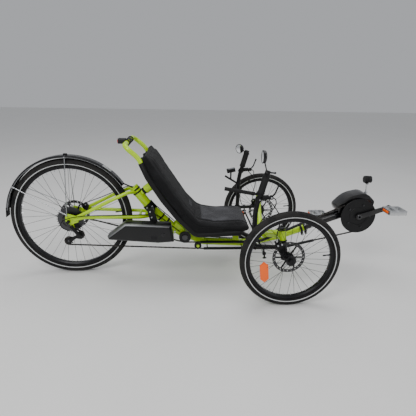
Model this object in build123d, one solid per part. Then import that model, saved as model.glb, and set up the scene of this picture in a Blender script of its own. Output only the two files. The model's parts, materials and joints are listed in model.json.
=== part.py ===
from build123d import *

import os
from math import asin, atan2, cos, hypot, pi, radians, sin, tan

# Recumbent tadpole tricycle with a mid-drive motor. Millimetres, X forward, Y to the rider's left, Z up.
# Everything is laid out from the point on the ground under the front axle line, and moved at the end so
# that the origin is the middle of the footprint.

RIGHT = -1
LEFT = 1
SIDES = {"right": RIGHT, "left": LEFT}

# ---------------------------------------------------------------- driving dimensions
wheelbase = 1114.0
track = 760.0
front_wheel_radius = 243.0
front_tyre_width = 40.0
front_bead_radius = 203.0
rear_wheel_radius = 325.0
rear_tyre_width = 44.0
rear_bead_radius = 281.0
tyre_wall = 3.5
spoke_radius = 0.9
front_spokes = 32
rear_spokes = 36

running_gap = 0.05
side_gap = 0.3

main_tube_radius = 20.0
boom_radius = 16.8
boom_slope = 19.8
pivot = Vector(-500, 0, 225)
pivot_axle_radius = 10.0
pivot_barrel_radius = 21.0
pivot_barrel_half = 24.0
ear_thickness = 6.0

diagonal_radius = 25.0
stay_radius = 9.5
dropout_inner = 68.0
dropout_thickness = 6.0
rear_axle_radius = 6.0

kingpin_radius = 8.0
head_tube_radius = 17.0
head_top = Vector(-31, 310, 370)
head_bottom = Vector(-24, 318, 312)
front_axle_radius = 7.5
stick_radius = 12.0
grip_radius = 16.5
grip_length = 90.0

seat_half_width = 185.0
seat_rail_radius = 12.0
seat_rail_y = 168.0

crank_axis = Vector(460, 0, 348)
crank_length = 170.0
crank_angle = 18.0
spindle_radius = 10.0
chain_y = -55.0
chain_size = 7.0
chain_width = 6.0
chain_pitch = 12.7
chainring_teeth = 44
cassette_teeth = [36, 32, 28, 24, 21, 18, 15, 12]
chain_sprocket = 5
idler_teeth = 15
pulley_teeth = 11
cassette_inner_y = -34.0
cassette_step = 4.2
guard_radius = 98.0

disc_radius = 80.0
disc_thickness = 1.8

battery_inner_y = -90.0
battery_width = 68.0


# ---------------------------------------------------------------- small helpers
def rod(start, end, radius):
    """Round bar between two points."""
    start = Vector(*start) if isinstance(start, tuple) else start
    end = Vector(*end) if isinstance(end, tuple) else end
    run = end - start
    section = Plane(origin=start, z_dir=run) * Circle(radius)
    return extrude(section, amount=run.length, dir=run.normalized())


def bent_tube(points, radius, bends):
    """Round tube along straight runs joined by arcs."""
    path = FilletPolyline(*points, radius=bends)
    return sweep(Plane(origin=path @ 0, z_dir=path % 0) * Circle(radius), path=path)


def across(x, z, radius, y_from, y_to):
    """Round bar along Y."""
    return rod((x, y_from, z), (x, y_to, z), radius)


def side_plate(outline, y_from, y_to):
    """Plate whose outline is drawn in X and Z, from one Y to a higher one."""
    return extrude(Plane.XZ.offset(-y_to) * outline, amount=y_to - y_from, dir=(0, -1, 0))


def turned(section, x, z):
    """Full turn about the cross axis of a section drawn with radius along X and width along Y."""
    ring = revolve(section, axis=Axis.Y)
    return Pos(x, 0, z) * ring


def offset_line(points, distance):
    """Mitred parallel of a polyline in X and Z, on its left going along it."""
    moved = []
    for index, point in enumerate(points):
        normals = []
        for a, b in ((index - 1, index), (index, index + 1)):
            if a >= 0 and b < len(points):
                run_x = points[b][0] - points[a][0]
                run_z = points[b][1] - points[a][1]
                size = hypot(run_x, run_z)
                normals.append((-run_z / size, run_x / size))
        normal_x = sum(n[0] for n in normals)
        normal_z = sum(n[1] for n in normals)
        size = hypot(normal_x, normal_z)
        normal_x, normal_z = normal_x / size, normal_z / size
        reach = distance / (normal_x * normals[0][0] + normal_z * normals[0][1])
        moved.append((point[0] + reach * normal_x, point[1] + reach * normal_z))
    return moved


def pitch_radius(teeth):
    return teeth * chain_pitch / (2 * pi)


def sprocket_radius(teeth):
    """Disc that lies just inside the chain that wraps it."""
    return pitch_radius(teeth) - chain_size / 2 - side_gap


def spot(axis, radius, angle):
    return (axis[0] + radius * cos(radians(angle)), axis[1] + radius * sin(radians(angle)))


nodes = {}


# ---------------------------------------------------------------- wheels
def rim_section(bead_radius, half_width):
    """Hooked U of an alloy rim, with its flanges 5 mm above the bead seat."""
    lip = bead_radius + 5
    return Polygon(
        (bead_radius - 10, -half_width * 0.62),
        (bead_radius - 10, half_width * 0.62),
        (bead_radius - 4, half_width),
        (lip, half_width),
        (lip, half_width - 1.8),
        (bead_radius - 3, half_width - 1.8),
        (bead_radius - 6.5, half_width * 0.5),
        (bead_radius - 6.5, -half_width * 0.5),
        (bead_radius - 3, -half_width + 1.8),
        (lip, -half_width + 1.8),
        (lip, -half_width),
        (bead_radius - 4, -half_width),
        align=None,
    )


def tyre_section(outer_radius, width, bead_radius, rim_half_width):
    """Open C of a tyre carcass whose beads sit inside the rim flanges."""
    centre = outer_radius - width / 2
    bead_half = rim_half_width - 1.8 - side_gap
    carcass = Pos(centre, 0) * Circle(width / 2)
    carcass -= Pos(centre, 0) * Circle(width / 2 - tyre_wall)
    below = Pos(bead_radius - 20, 0) * Rectangle(40, width)
    flange_zone = bead_radius + 5 + side_gap
    carcass -= below
    for side in (-1, 1):
        outside = Pos(flange_zone / 2, side * (bead_half + width / 2)) * Rectangle(flange_zone, width)
        carcass -= outside
    opening = Pos(bead_radius, 0) * Rectangle(2 * tyre_wall + 12, 2 * bead_half - 2 * tyre_wall)
    carcass -= opening
    return carcass


def spoke_set(axis, centre_y, flange_radius, flange_y, rim_radius, count):
    """Crossed spokes from both flanges of a hub to the rim."""
    spokes = []
    per_flange = count // 2
    lacing = 360 / per_flange * 2
    for index in range(per_flange):
        for flange_side in (-1, 1):
            hole = 360 * index / per_flange + (180 / per_flange if flange_side > 0 else 0)
            face = 1 if index % 2 else -1
            turn = lacing * face
            x0, z0 = spot(axis, flange_radius, hole)
            x1, z1 = spot(axis, rim_radius, hole + turn)
            y0 = centre_y + flange_side * flange_y + face * 3.7
            y1 = centre_y + flange_side * 3.2 + face * 0.8
            spokes.append(rod((x0, y0, z0), (x1, y1, z1), spoke_radius))
    return spokes


def brake_disc(axis, y_from, y_to, hub_radius):
    """Slotted disc brake rotor on six arms."""
    x, z = axis
    ring = Circle(disc_radius) - Circle(disc_radius - 15)
    middle = Circle(hub_radius + 7) - Circle(hub_radius)
    for index in range(6):
        arm = Rot(0, 0, 60 * index) * Pos((disc_radius - 15 + hub_radius) / 2 + 4, 0)
        middle += arm * Rectangle(disc_radius - 15 - hub_radius + 2, 8)
    slots = Sketch()
    for index in range(24):
        slots += Rot(0, 0, 15 * index) * Pos(disc_radius - 7.5, 0) * Rot(0, 0, 35) * SlotOverall(9, 3)
    return side_plate(Pos(x, z) * (ring + middle - slots), y_from, y_to)


rear_disc_y = 50.0


def front_wheel(name, side):
    axis = (0, front_wheel_radius)
    middle = side * track / 2
    rim_half = 12.5
    tyre = turned(tyre_section(front_wheel_radius, front_tyre_width, front_bead_radius, rim_half), *axis)
    rim = turned(rim_section(front_bead_radius, rim_half), *axis)
    nodes[f"front_tyre_{name}"] = Pos(0, middle, 0) * tyre
    nodes[f"front_rim_{name}"] = Pos(0, middle, 0) * rim
    spokes = spoke_set(axis, middle, 22, 19, front_bead_radius - 10.4, front_spokes)
    nodes[f"front_spokes_{name}"] = Compound(spokes)
    inner_end = side * (track / 2 - 28)
    outer_end = side * (track / 2 + 24)
    shell = across(*axis, 17, *sorted((inner_end, outer_end)))
    for flange_y in (middle - 19, middle + 19):
        shell += across(*axis, 24.5, flange_y - 1.5, flange_y + 1.5)
    shell -= across(*axis, front_axle_radius + running_gap, *sorted((inner_end - side, outer_end + side)))
    disc_y = sorted((side * (track / 2 - 26), side * (track / 2 - 26 + disc_thickness)))
    disc = brake_disc(axis, disc_y[0], disc_y[1], 17 + side_gap / 3)
    nodes[f"front_hub_{name}"] = Compound([shell.solid(), disc.solid()])


def rear_wheel():
    axis = (-wheelbase, rear_wheel_radius)
    rim_half = 14.0
    nodes["rear_tyre"] = turned(
        tyre_section(rear_wheel_radius, rear_tyre_width, rear_bead_radius, rim_half), *axis
    )
    nodes["rear_rim"] = turned(rim_section(rear_bead_radius, rim_half), *axis)
    spokes = spoke_set(axis, 2, 27, 24, rear_bead_radius - 10.4, rear_spokes)
    nodes["rear_spokes"] = Compound(spokes)
    shell = across(*axis, 20, -27, 56)
    shell += across(*axis, 29.5, -23.5, -20.5)
    shell += across(*axis, 29.5, 24.5, 27.5)
    shell += across(*axis, 17, -64, -27)
    shell -= across(*axis, rear_axle_radius + running_gap, -70, 60)
    disc = brake_disc(axis, rear_disc_y, rear_disc_y + disc_thickness, 20 + side_gap / 3)
    nodes["rear_hub"] = Compound([shell.solid(), disc.solid()])


def cassette():
    x, z = -wheelbase, rear_wheel_radius
    stack = across(x, z, 20, cassette_inner_y - cassette_step * (len(cassette_teeth) - 1), cassette_inner_y)
    for index, teeth in enumerate(cassette_teeth):
        y = cassette_inner_y - cassette_step * index
        stack += across(x, z, sprocket_radius(teeth), y - 0.9, y + 0.9)
    stack -= across(x, z, 17 + running_gap, -80, 0)
    nodes["cassette"] = stack


# ---------------------------------------------------------------- layout shared by several pieces
def mirrored_point(point, side):
    return Vector(point.X, side * point.Y, point.Z)


def boom_point(distance):
    """Point on the boom's axis, measured from where the main tube turns up."""
    slope = radians(boom_slope)
    return Vector(40 + distance * cos(slope), 0, 208 + distance * sin(slope))


def between(a, b, share):
    return (a[0] + (b[0] - a[0]) * share, a[1] + (b[1] - a[1]) * share)


main_tube_length = 158.0
boom_inside = 100.0
boom_end = 375.0

seat_bend = 45.0
seat_back_line = [(-160, 308.5), (-438, 296), (-525, 384), (-598, 479), (-669, 591), (-711, 689)]
seat_front_line = [(-152, 341), (-331, 334), (-433, 348), (-499, 421), (-597, 571), (-682, 708)]
rail_step = seat_rail_radius + side_gap
rail_line = offset_line([between(*seat_back_line[:2], 0.2), *seat_back_line[1:]], rail_step)
hoop_top = (-790, 742)
front_cross = rail_line[0]
low_cross = between(rail_line[0], rail_line[1], 0.86)
lug_cross = between(rail_line[3], rail_line[4], 0.52)
cross_radius = 10.0

diagonal_knee = Vector(-692, 0, 384)
diagonal_foot = Vector(-548, 0, 243)
diagonal_end = Vector(-776, 0, 495)
diagonal_run = (diagonal_end - diagonal_knee).normalized()
lug_run = Vector(diagonal_run.Z, 0, -diagonal_run.X)
lug_axis_offset = (Vector(lug_cross[0], 0, lug_cross[1]) - diagonal_knee).dot(diagonal_run)
lug_root = diagonal_knee + diagonal_run * lug_axis_offset
elastomer_start = diagonal_radius + 2.0
elastomer_end = 42.0
lug_radius = 23.0

return_idler = (-428, 174)
idler_radius = sprocket_radius(idler_teeth)
keeper_radius = 14.0
rear_axle = (-wheelbase, rear_wheel_radius)
guide_pulley = (-wheelbase + 48, rear_wheel_radius - 82)
tension_pulley = (-wheelbase - 14, rear_wheel_radius - 117)


# ---------------------------------------------------------------- main frame
def main_frame():
    tube_points = [pivot, (-400, 0, 178), (-150, 0, 166), boom_point(0), boom_point(main_tube_length)]
    frame = bent_tube(tube_points, main_tube_radius, [60, 250, 250])
    frame += across(pivot.X, pivot.Z, pivot_barrel_radius, -pivot_barrel_half, pivot_barrel_half)
    for side in SIDES.values():
        top = mirrored_point(head_top, side)
        bottom = mirrored_point(head_bottom, side)
        arm = [
            (-62, 0, 188),
            (-60, side * 44, 235),
            (-54, side * 150, 288),
            (-43, side * 245, 325),
            (-28, side * 313, 341),
        ]
        frame += bent_tube(arm, 16, [40, 90, 120])
        frame += rod((-58, side * 95, 248), (-26, side * 314, 334), 7)
        frame += rod(bottom, top, head_tube_radius)
    for base, half, cross in ((188, 14, low_cross), (170, 12, front_cross)):
        seat_top = cross[1] - cross_radius - side_gap
        low_x = cross[0] + (188 - base) * 0.2
        post = Polygon(
            (low_x - 20, base),
            (low_x + 20, base),
            (cross[0] + 8, seat_top),
            (cross[0] - 8, seat_top),
            align=None,
        )
        frame += side_plate(post, -half, half)
    frame += across(*return_idler, 5, chain_y - 8, -10)
    frame += across(*return_idler, 8, chain_y - 9, chain_y - 6 - side_gap)
    for side in SIDES.values():
        top = mirrored_point(head_top, side)
        bottom = mirrored_point(head_bottom, side)
        lift = (top - bottom).normalized() * 5
        frame -= rod(bottom - lift, top + lift, kingpin_radius + running_gap)
    frame -= rod(boom_point(boom_inside - 25), boom_point(main_tube_length + 10), boom_radius + running_gap)
    frame -= across(pivot.X, pivot.Z, pivot_axle_radius + running_gap, -60, 60)
    nodes["main_frame"] = frame


def boom_clamp():
    """Two pinch collars with their bolts at the mouth of the main tube."""
    solids = []
    for place in (main_tube_length - 34, main_tube_length - 12):
        start, end = boom_point(place), boom_point(place + 12)
        middle = boom_point(place + 6)
        ears = Box(12, 15, 22, align=(Align.CENTER, Align.CENTER, Align.MAX))
        collar = rod(start, end, main_tube_radius + 5)
        collar += Pos(middle) * Rot(0, -boom_slope, 0) * Pos(0, 0, -main_tube_radius) * ears
        collar -= rod(boom_point(place - 5), boom_point(place + 20), main_tube_radius)
        collar -= Pos(middle) * Rot(0, -boom_slope, 0) * Pos(0, 0, -main_tube_radius) * Box(20, 2, 60)
        solids.append(collar.solid())
    nodes["boom_clamp"] = Compound(solids)


def boom():
    tube = rod(boom_point(boom_inside), boom_point(boom_end), boom_radius)
    tube += rod(boom_point(boom_end - 1), crank_axis, boom_radius)
    tube += across(crank_axis.X, crank_axis.Z, 22, -34, 34)
    tube -= across(crank_axis.X, crank_axis.Z, spindle_radius + running_gap, -40, 40)
    nodes["boom"] = tube


def motor_housing():
    """Drive unit on top of the boom, with its arched cover."""
    x, z = crank_axis.X, crank_axis.Z
    arch = FilletPolyline(
        (x + 60, z - 20),
        (x + 92, z + 78),
        (x + 40, z + 128),
        (x - 60, z + 106),
        (x - 118, z + 44),
        (x - 104, z + 14),
        (x - 48, z - 6),
        (x - 30, z - 40),
        (x + 22, z - 46),
        radius=[24, 60, 130, 22, 10, 20, 14],
    )
    outline = make_face([arch, Line(arch @ 1, arch @ 0)])
    shell = side_plate(outline, -44, 52)
    shell -= rod(boom_point(boom_inside), boom_point(boom_end), boom_radius)
    shell -= rod(boom_point(boom_end - 1), crank_axis, boom_radius)
    shell -= across(x, z, 22, -34, 34)
    shell -= across(x, z, spindle_radius + 0.5, -60, 60)
    nodes["motor_housing"] = Compound(shell.solids().sort_by(SortBy.VOLUME)[-1:])


headlight_pivot = (crank_axis.X + 52, crank_axis.Z + 170)


def headlight():
    x, z = headlight_pivot
    post = across(x, z, 2.5, -9, 9)
    post += rod((x + 2, 0, z - 50), (x, 0, z), 4)
    post += rod((x + 2, 0, crank_axis.Z + 108), (x + 2, 0, z - 48), 9)
    post -= nodes["motor_housing"]
    nodes["headlight_post"] = post.solids().sort_by(SortBy.VOLUME)[-1]
    body = rod((x - 18, 0, z + 24), (x + 20, 0, z + 24), 19)
    for side in (-1, 1):
        body += side_plate(Pos(x, z + 6) * SlotOverall(20, 10, rotation=90), *sorted((side * 6, side * 9.5)))
    body -= side_plate(Pos(x, z) * Circle(2.5 + running_gap), -20, 20)
    body -= side_plate(Pos(x, z) * Circle(5.4), -5.9, 5.9)
    nodes["headlight"] = body


# ---------------------------------------------------------------- seat
def seat_frame():
    """Bent green rails with a hoop behind the head, three cross tubes and the suspension lug."""
    bends = [seat_bend + rail_step] + [120 + rail_step] * 2 + [160 + rail_step]
    hoop_bend = 40
    frame = None
    for side in SIDES.values():
        points = [(x, side * seat_rail_y, z) for x, z in rail_line]
        points.append((hoop_top[0], side * seat_rail_y, hoop_top[1]))
        points.append((hoop_top[0], 0, hoop_top[1]))
        rail = bent_tube(points, seat_rail_radius, bends + [110, hoop_bend])
        frame = rail if frame is None else frame + rail
    for cross in (front_cross, low_cross, lug_cross):
        frame += across(*cross, cross_radius, -seat_rail_y, seat_rail_y)
    for side in SIDES.values():
        frame += Pos(front_cross[0], side * seat_rail_y, front_cross[1]) * Sphere(seat_rail_radius)
    frame += rod(lug_root + lug_run * elastomer_end, Vector(lug_cross[0], 0, lug_cross[1]), lug_radius)
    nodes["seat_frame"] = frame


def seat_cushion():
    lower = FilletPolyline(*seat_back_line, radius=[seat_bend, 120, 120, 160])
    upper = FilletPolyline(*reversed(seat_front_line), radius=[300, 150, 60, 300])
    outline = make_face([lower, Line(lower @ 1, upper @ 0), upper, Line(upper @ 1, lower @ 0)])
    nodes["seat_cushion"] = side_plate(outline, -seat_half_width, seat_half_width)


def rear_light():
    """Lamp on a clip round the middle of the hoop."""
    x, z = hoop_top
    clip = across(x, z, seat_rail_radius + 4, -24, 24) - across(x, z, seat_rail_radius + 0.2, -30, 30)
    lamp = Pos(x - seat_rail_radius - 22, 0, z) * Box(38, 44, 26)
    lamp = fillet(lamp.edges().filter_by(Axis.X), 8)
    lamp -= across(x, z, seat_rail_radius + 0.2, -30, 30)
    nodes["rear_light"] = clip + lamp


# ---------------------------------------------------------------- rear swingarm
def stay_path(side, points):
    return [(x, side * y, z) for x, y, z in points]


def diagonal_tube(radius):
    return bent_tube([diagonal_foot, diagonal_knee, diagonal_end], radius, [400])


def swingarm():
    frame = diagonal_tube(diagonal_radius)
    ear = Polygon(
        (pivot.X + 17, pivot.Z + 12),
        (pivot.X + 4, pivot.Z - 20),
        (pivot.X - 20, pivot.Z - 10),
        (pivot.X - 84, pivot.Z + 36),
        (pivot.X - 46, pivot.Z + 76),
        align=None,
    )
    ear += Pos(pivot.X, pivot.Z) * Circle(20)
    inner = pivot_barrel_half + side_gap
    back, level = rear_axle
    for side in SIDES.values():
        plate_y = sorted((side * inner, side * (inner + ear_thickness)))
        frame += side_plate(ear, *plate_y)
        frame += bent_tube(
            stay_path(
                side,
                [(-648, 6, 341), (-740, 56, 343), (back + 84, 71, level + 23), (back + 29, 72, level + 9)],
            ),
            stay_radius,
            [60, 90],
        )
        frame += bent_tube(
            stay_path(
                side,
                [
                    (-752, 8, 470),
                    (-800, 50, 478),
                    (back + 224, 62, level + 113),
                    (back + 64, 71, level + 32),
                    (back + 34, 72, level + 17),
                ],
            ),
            stay_radius,
            [50, 90, 90],
        )
        dropout = Polygon(
            (back + 14, level - 16),
            (back - 12, level - 14),
            (back - 18, level + 8),
            (back - 12, level + 42),
            (back + 6, level + 40),
            (back + 50, level + 26),
            (back + 50, level - 4),
            align=None,
        )
        dropout_y = sorted((side * dropout_inner, side * (dropout_inner + dropout_thickness)))
        frame += side_plate(dropout, *dropout_y)
    frame += across(-556, 250, 14, -inner - 2, inner + 2)
    web = Polygon((-600, 292), (-676, 366), (-722, 344), (-690, 318), align=None)
    frame += side_plate(web, -3, 3)
    frame += across(-745, 343, 7, -56, 56)
    frame += rod(lug_root, lug_root + lug_run * elastomer_start, 18)
    hanger = Polygon(
        (back + 4, level - 9),
        (back + 22, level - 7),
        (back + 28, level - 37),
        (back + 12, level - 41),
        align=None,
    )
    frame += side_plate(hanger, -dropout_inner - dropout_thickness, -dropout_inner)
    for side in SIDES.values():
        hole = sorted((side * (dropout_inner - 2), side * (dropout_inner + dropout_thickness + 2)))
        frame -= across(*rear_axle, rear_axle_radius + running_gap, *hole)
    frame -= across(pivot.X, pivot.Z, pivot_axle_radius + running_gap, -60, 60)
    nodes["swingarm"] = frame


def elastomer_block():
    start = lug_root + lug_run * elastomer_start
    end = lug_root + lug_run * (elastomer_end - side_gap)
    nodes["elastomer_block"] = rod(start, end, 19)


def rear_axle_set():
    """Solid axle with a nut outside each dropout."""
    x, z = rear_axle
    outer = dropout_inner + dropout_thickness
    axle = across(x, z, rear_axle_radius, -outer - 14, outer + 14)
    for side in SIDES.values():
        nut = Plane.XZ.offset(-side * outer - (8 if side > 0 else 0)) * (Pos(x, z) * RegularPolygon(10, 6))
        axle += extrude(nut, amount=8)
    for side, inner in ((RIGHT, 64.5), (LEFT, 56.5)):
        axle += across(x, z, 9, *sorted((side * inner, side * dropout_inner)))
    nodes["rear_axle"] = axle


def battery():
    """Long faceted case whose tail slopes down to a point."""
    outline = Polygon(
        (-557, 236), (-573, 330), (-808, 341), (-902, 270), (-896, 250), (-640, 230), align=None
    )
    bevel = 12.0
    outer_y = battery_inner_y - battery_width + bevel
    case = side_plate(outline, outer_y, battery_inner_y)
    case += extrude(Plane.XZ.offset(-outer_y) * outline, amount=bevel, taper=40)
    nodes["battery"] = case


def battery_mount():
    """Band round the knee of the diagonal and the plate that carries the battery."""
    inner = battery_inner_y + side_gap
    run = (diagonal_end - diagonal_foot).normalized()
    slab = Plane(origin=diagonal_knee, x_dir=(0, 1, 0), z_dir=run) * Box(80, 90, 44)
    bracket = (diagonal_tube(diagonal_radius + 5) - diagonal_tube(diagonal_radius)) & slab
    link = Polygon((-698, 396), (-668, 396), (-662, 372), (-692, 372), align=None)
    bracket += side_plate(link, inner, -diagonal_radius + 1) - diagonal_tube(diagonal_radius)
    arm = Polygon((-700, 398), (-666, 398), (-622, 262), (-668, 262), align=None)
    bracket += side_plate(arm, inner, inner + 6)
    tray = Polygon((-860, 282), (-590, 270), (-590, 260), (-860, 272), align=None)
    bracket += side_plate(tray, inner, inner + 6)
    bracket -= nodes["swingarm"]
    nodes["battery_mount"] = bracket.solids().sort_by(SortBy.VOLUME)[-1]


def fender():
    """Arched blade with a flap, its front strut and the stays."""
    x, z = rear_axle
    inside = rear_wheel_radius + 15
    half = 27.0
    section = Polygon(
        (inside - 9, -half),
        (inside, -half + 9),
        (inside, half - 9),
        (inside - 9, half),
        (inside - 6.5, half),
        (inside + 2.5, half - 8),
        (inside + 2.5, -half + 8),
        (inside - 6.5, -half),
        align=None,
    )
    front_angle, rear_angle = 33.0, 172.0
    blade = revolve(section, axis=Axis.Y, revolution_arc=rear_angle - front_angle)
    blade = Rot(0, -front_angle, 0) * blade
    if blade.bounding_box().min.Z < -50:
        blade = Rot(0, front_angle, 0) * blade
        blade = Rot(0, -rear_angle, 0) * blade
    blade = Pos(x, 0, z) * blade
    nose = spot(rear_axle, inside + 1.2, front_angle + 1.0)
    blade += rod((nose[0], 0, nose[1]), diagonal_end - diagonal_run * 8, 4)
    blade -= nodes["swingarm"]
    solids = [blade.solids().sort_by(SortBy.VOLUME)[-1]]
    for side in SIDES.values():
        stay_y = side * (half + 2.8)
        foot_y = side * (dropout_inner + dropout_thickness + 2.8)
        for angle in (90.5, 148.0):
            tip = spot(rear_axle, inside - 8, angle)
            stay = rod((x - 6, foot_y, z + 36), (tip[0], stay_y, tip[1]), 2.5) - nodes["swingarm"]
            solids.append(stay.solids().sort_by(SortBy.VOLUME)[-1])
    nodes["rear_fender"] = Compound(solids)


def caliper_block(axis, angle, y_low, y_high, disc_middle):
    """Block over a disc's rim, slotted for the disc and closed outside it."""
    x, z = spot(axis, disc_radius - 4, angle)
    turn = Rot(0, 90 - angle, 0)
    block = Pos(x, (y_low + y_high) / 2, z) * turn * Box(34, y_high - y_low, 30)
    block = chamfer(block.edges().filter_by(Axis.Y), 5)
    slot = Pos(x, disc_middle, z) * turn * Pos(0, 0, -6) * Box(60, disc_thickness + 0.8, 30)
    return block - slot


def rear_caliper():
    """Caliper between the left stays."""
    disc_middle = rear_disc_y + disc_thickness / 2
    block = caliper_block(rear_axle, 38, disc_middle - 9, 65, disc_middle) - nodes["swingarm"]
    nodes["rear_caliper"] = block.solids().sort_by(SortBy.VOLUME)[-1]


# ---------------------------------------------------------------- drive
def tangent_points(first, second):
    """Ends of the straight run of a belt between two circles, each (centre, radius, sense)."""
    (c1, r1, s1), (c2, r2, s2) = first, second
    run_x, run_z = c2[0] - c1[0], c2[1] - c1[1]
    offset = s2 * r2 - s1 * r1
    heading = atan2(run_z, run_x) - asin(offset / hypot(run_x, run_z))
    normal = (-sin(heading), cos(heading))
    start = (c1[0] - s1 * r1 * normal[0], c1[1] - s1 * r1 * normal[1])
    end = (c2[0] - s2 * r2 * normal[0], c2[1] - s2 * r2 * normal[1])
    return start, end


def belt_edges(circles, y):
    """Lines and arcs of a belt that passes round the circles in turn; a radius of 0 is an end."""
    runs = [tangent_points(a, b) for a, b in zip(circles, circles[1:])]
    edges = []
    for index, (start, end) in enumerate(runs):
        edges.append(Line((start[0], y, start[1]), (end[0], y, end[1])))
        if index + 1 < len(runs):
            (centre, radius, sense), leave = circles[index + 1], runs[index + 1][0]
            a = atan2(end[1] - centre[1], end[0] - centre[0])
            b = atan2(leave[1] - centre[1], leave[0] - centre[0])
            turn = (b - a) % (2 * pi) if sense > 0 else -((a - b) % (2 * pi))
            middle = a + turn / 2
            top = (centre[0] + radius * cos(middle), y, centre[1] + radius * sin(middle))
            edges.append(ThreePointArc((end[0], y, end[1]), top, (leave[0], y, leave[1])))
    return edges


def belt(circles, section, y):
    path = Wire([edge.edge() for edge in belt_edges(circles, y)])
    start = Plane(origin=path @ 0, x_dir=(0, 1, 0), z_dir=path % 0)
    return sweep(start * section, path=path)


idler_bottom = (pivot.X, pivot.Z - pitch_radius(idler_teeth))
keeper_bottom = (return_idler[0], return_idler[1] - keeper_radius - chain_size / 2 - 2 * side_gap)
upper_knee = ((-120, idler_bottom[1] + 160), 160, 1)
lower_knee = ((0, keeper_bottom[1] + 300), 300, -1)
chainring_wrap = ((crank_axis.X, crank_axis.Z), pitch_radius(chainring_teeth), -1)


def chains():
    """Front loop to the chainring and rear loop to the sprockets, split just ahead of the idlers."""
    section = Rectangle(chain_width, chain_size)
    upper_split = (idler_bottom[0] + 8, idler_bottom[1])
    lower_split = (keeper_bottom[0] + 2, keeper_bottom[1])
    front = [
        ((upper_split[0] + 1, upper_split[1]), 0, 1),
        upper_knee,
        chainring_wrap,
        lower_knee,
        ((lower_split[0] + 1, lower_split[1]), 0, 1),
    ]
    nodes["chain_front"] = belt(front, section, chain_y)
    pulley = pitch_radius(pulley_teeth)
    rear = [
        (upper_split, 0, 1),
        ((pivot.X, pivot.Z), pitch_radius(idler_teeth), -1),
        (rear_axle, pitch_radius(cassette_teeth[chain_sprocket]), 1),
        (guide_pulley, pulley, -1),
        (tension_pulley, pulley, 1),
        (lower_split, 0, 1),
    ]
    nodes["chain_rear"] = belt(rear, section, chain_y)


def chain_guides():
    """Plastic tubes round the two front runs, and the keeper wheel under the pivot."""
    upper_run = tangent_points(upper_knee, chainring_wrap)
    lower_run = tangent_points(chainring_wrap, lower_knee)
    wall = Circle(7.6) - Circle(5.6)
    upper_end = between(*upper_run, 0.42)
    lower_start = between(*lower_run, 0.62)
    tubes = belt([((-415, idler_bottom[1]), 0, 1), upper_knee, (upper_end, 0, 1)], wall, chain_y)
    tubes += belt([(lower_start, 0, 1), lower_knee, ((-395, keeper_bottom[1]), 0, 1)], wall, chain_y)
    for x, root_z, tip_z in (
        (-375, idler_bottom[1] - 8, idler_bottom[1]),
        (-375, keeper_bottom[1] + 7, keeper_bottom[1] + 5.5),
        (-180, idler_bottom[1] - 12, idler_bottom[1] - 3),
        (-180, keeper_bottom[1] + 5, keeper_bottom[1] + 4),
    ):
        tubes += rod((x, -10, root_z), (x, chain_y + 6.4, tip_z), 3)
    tubes -= nodes["main_frame"]
    nodes["chain_guides"] = Compound(tubes.solids())
    keeper = across(*return_idler, keeper_radius, chain_y - 5, chain_y + 5)
    for y in (chain_y - 6, chain_y + 5):
        keeper += across(*return_idler, keeper_radius + 6, y, y + 1)
    keeper -= across(*return_idler, 5 + running_gap, chain_y - 20, chain_y + 20)
    nodes["return_idler"] = keeper


def idler_pulley():
    x, z = pivot.X, pivot.Z
    wheel = across(x, z, idler_radius, chain_y - 4.5, chain_y + 4.5)
    for y in (chain_y - 6, chain_y + 4.5):
        wheel += across(x, z, idler_radius + 6, y, y + 1.5)
    wheel -= across(x, z, pivot_axle_radius - 2 + running_gap, chain_y - 10, chain_y + 10)
    nodes["idler_pulley"] = wheel
    outer = pivot_barrel_half + side_gap + ear_thickness
    axle = across(x, z, pivot_axle_radius, -outer - 9, outer + 1)
    axle += across(x, z, pivot_axle_radius - 2, chain_y - 8, -outer)
    axle += across(x, z, 15, chain_y - 11, chain_y - 6 - side_gap)
    axle += across(x, z, 14, chain_y + 6 + side_gap, -outer - side_gap)
    axle += across(x, z, 15, outer + side_gap, outer + 6)
    nodes["pivot_axle"] = axle


def crankset():
    x, z = crank_axis.X, crank_axis.Z
    ring = across(x, z, sprocket_radius(chainring_teeth), chain_y - 1.5, chain_y + 1.5)
    holes = [
        across(*spot((x, z), 58, 72 * index + 36), 13, chain_y - 5, chain_y + 5) for index in range(5)
    ]
    for hole in holes:
        ring -= hole
    ring += across(x, z, 24, chain_y - 7, chain_y + 1.5)
    ring -= across(x, z, spindle_radius + running_gap, chain_y - 10, chain_y + 10)
    guard_y = chain_y - 5.2
    guard = across(x, z, guard_radius, guard_y - 3, guard_y)
    guard -= across(x, z, 24 + side_gap, guard_y - 9, guard_y + 9)
    solids = [ring.solid(), guard.solid()]
    for index in range(5):
        bolt_x, bolt_z = spot((x, z), 66, 72 * index)
        solids.append(across(bolt_x, bolt_z, 4, guard_y + side_gap, chain_y - 1.5 - side_gap).solid())
    nodes["chainring"] = Compound(solids)
    for name, side in SIDES.items():
        angle = crank_angle if side == RIGHT else crank_angle + 180
        end = spot((x, z), crank_length, angle)
        inner = 64 if side == RIGHT else 58
        y_low, y_high = sorted((side * inner, side * (inner + 14)))
        arm = across(x, z, 17, y_low, y_high) + across(*end, 13, y_low, y_high)
        blade = Polygon(
            spot((x, z), 15, angle + 90),
            spot((x, z), 15, angle - 90),
            spot(end, 11, angle - 90),
            spot(end, 11, angle + 90),
            align=None,
        )
        arm += side_plate(blade, y_low + 1, y_high - 1)
        arm += across(*end, 6, *sorted((side * (inner + 12), side * (inner + 14 + 90))))
        if side == RIGHT:
            arm += across(x, z, spindle_radius, -inner - 2, 30)
        else:
            arm += across(x, z, spindle_radius, 30, inner + 2)
        nodes[f"crank_{name}"] = arm
        pedal(name, side, end, inner + 14)


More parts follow.
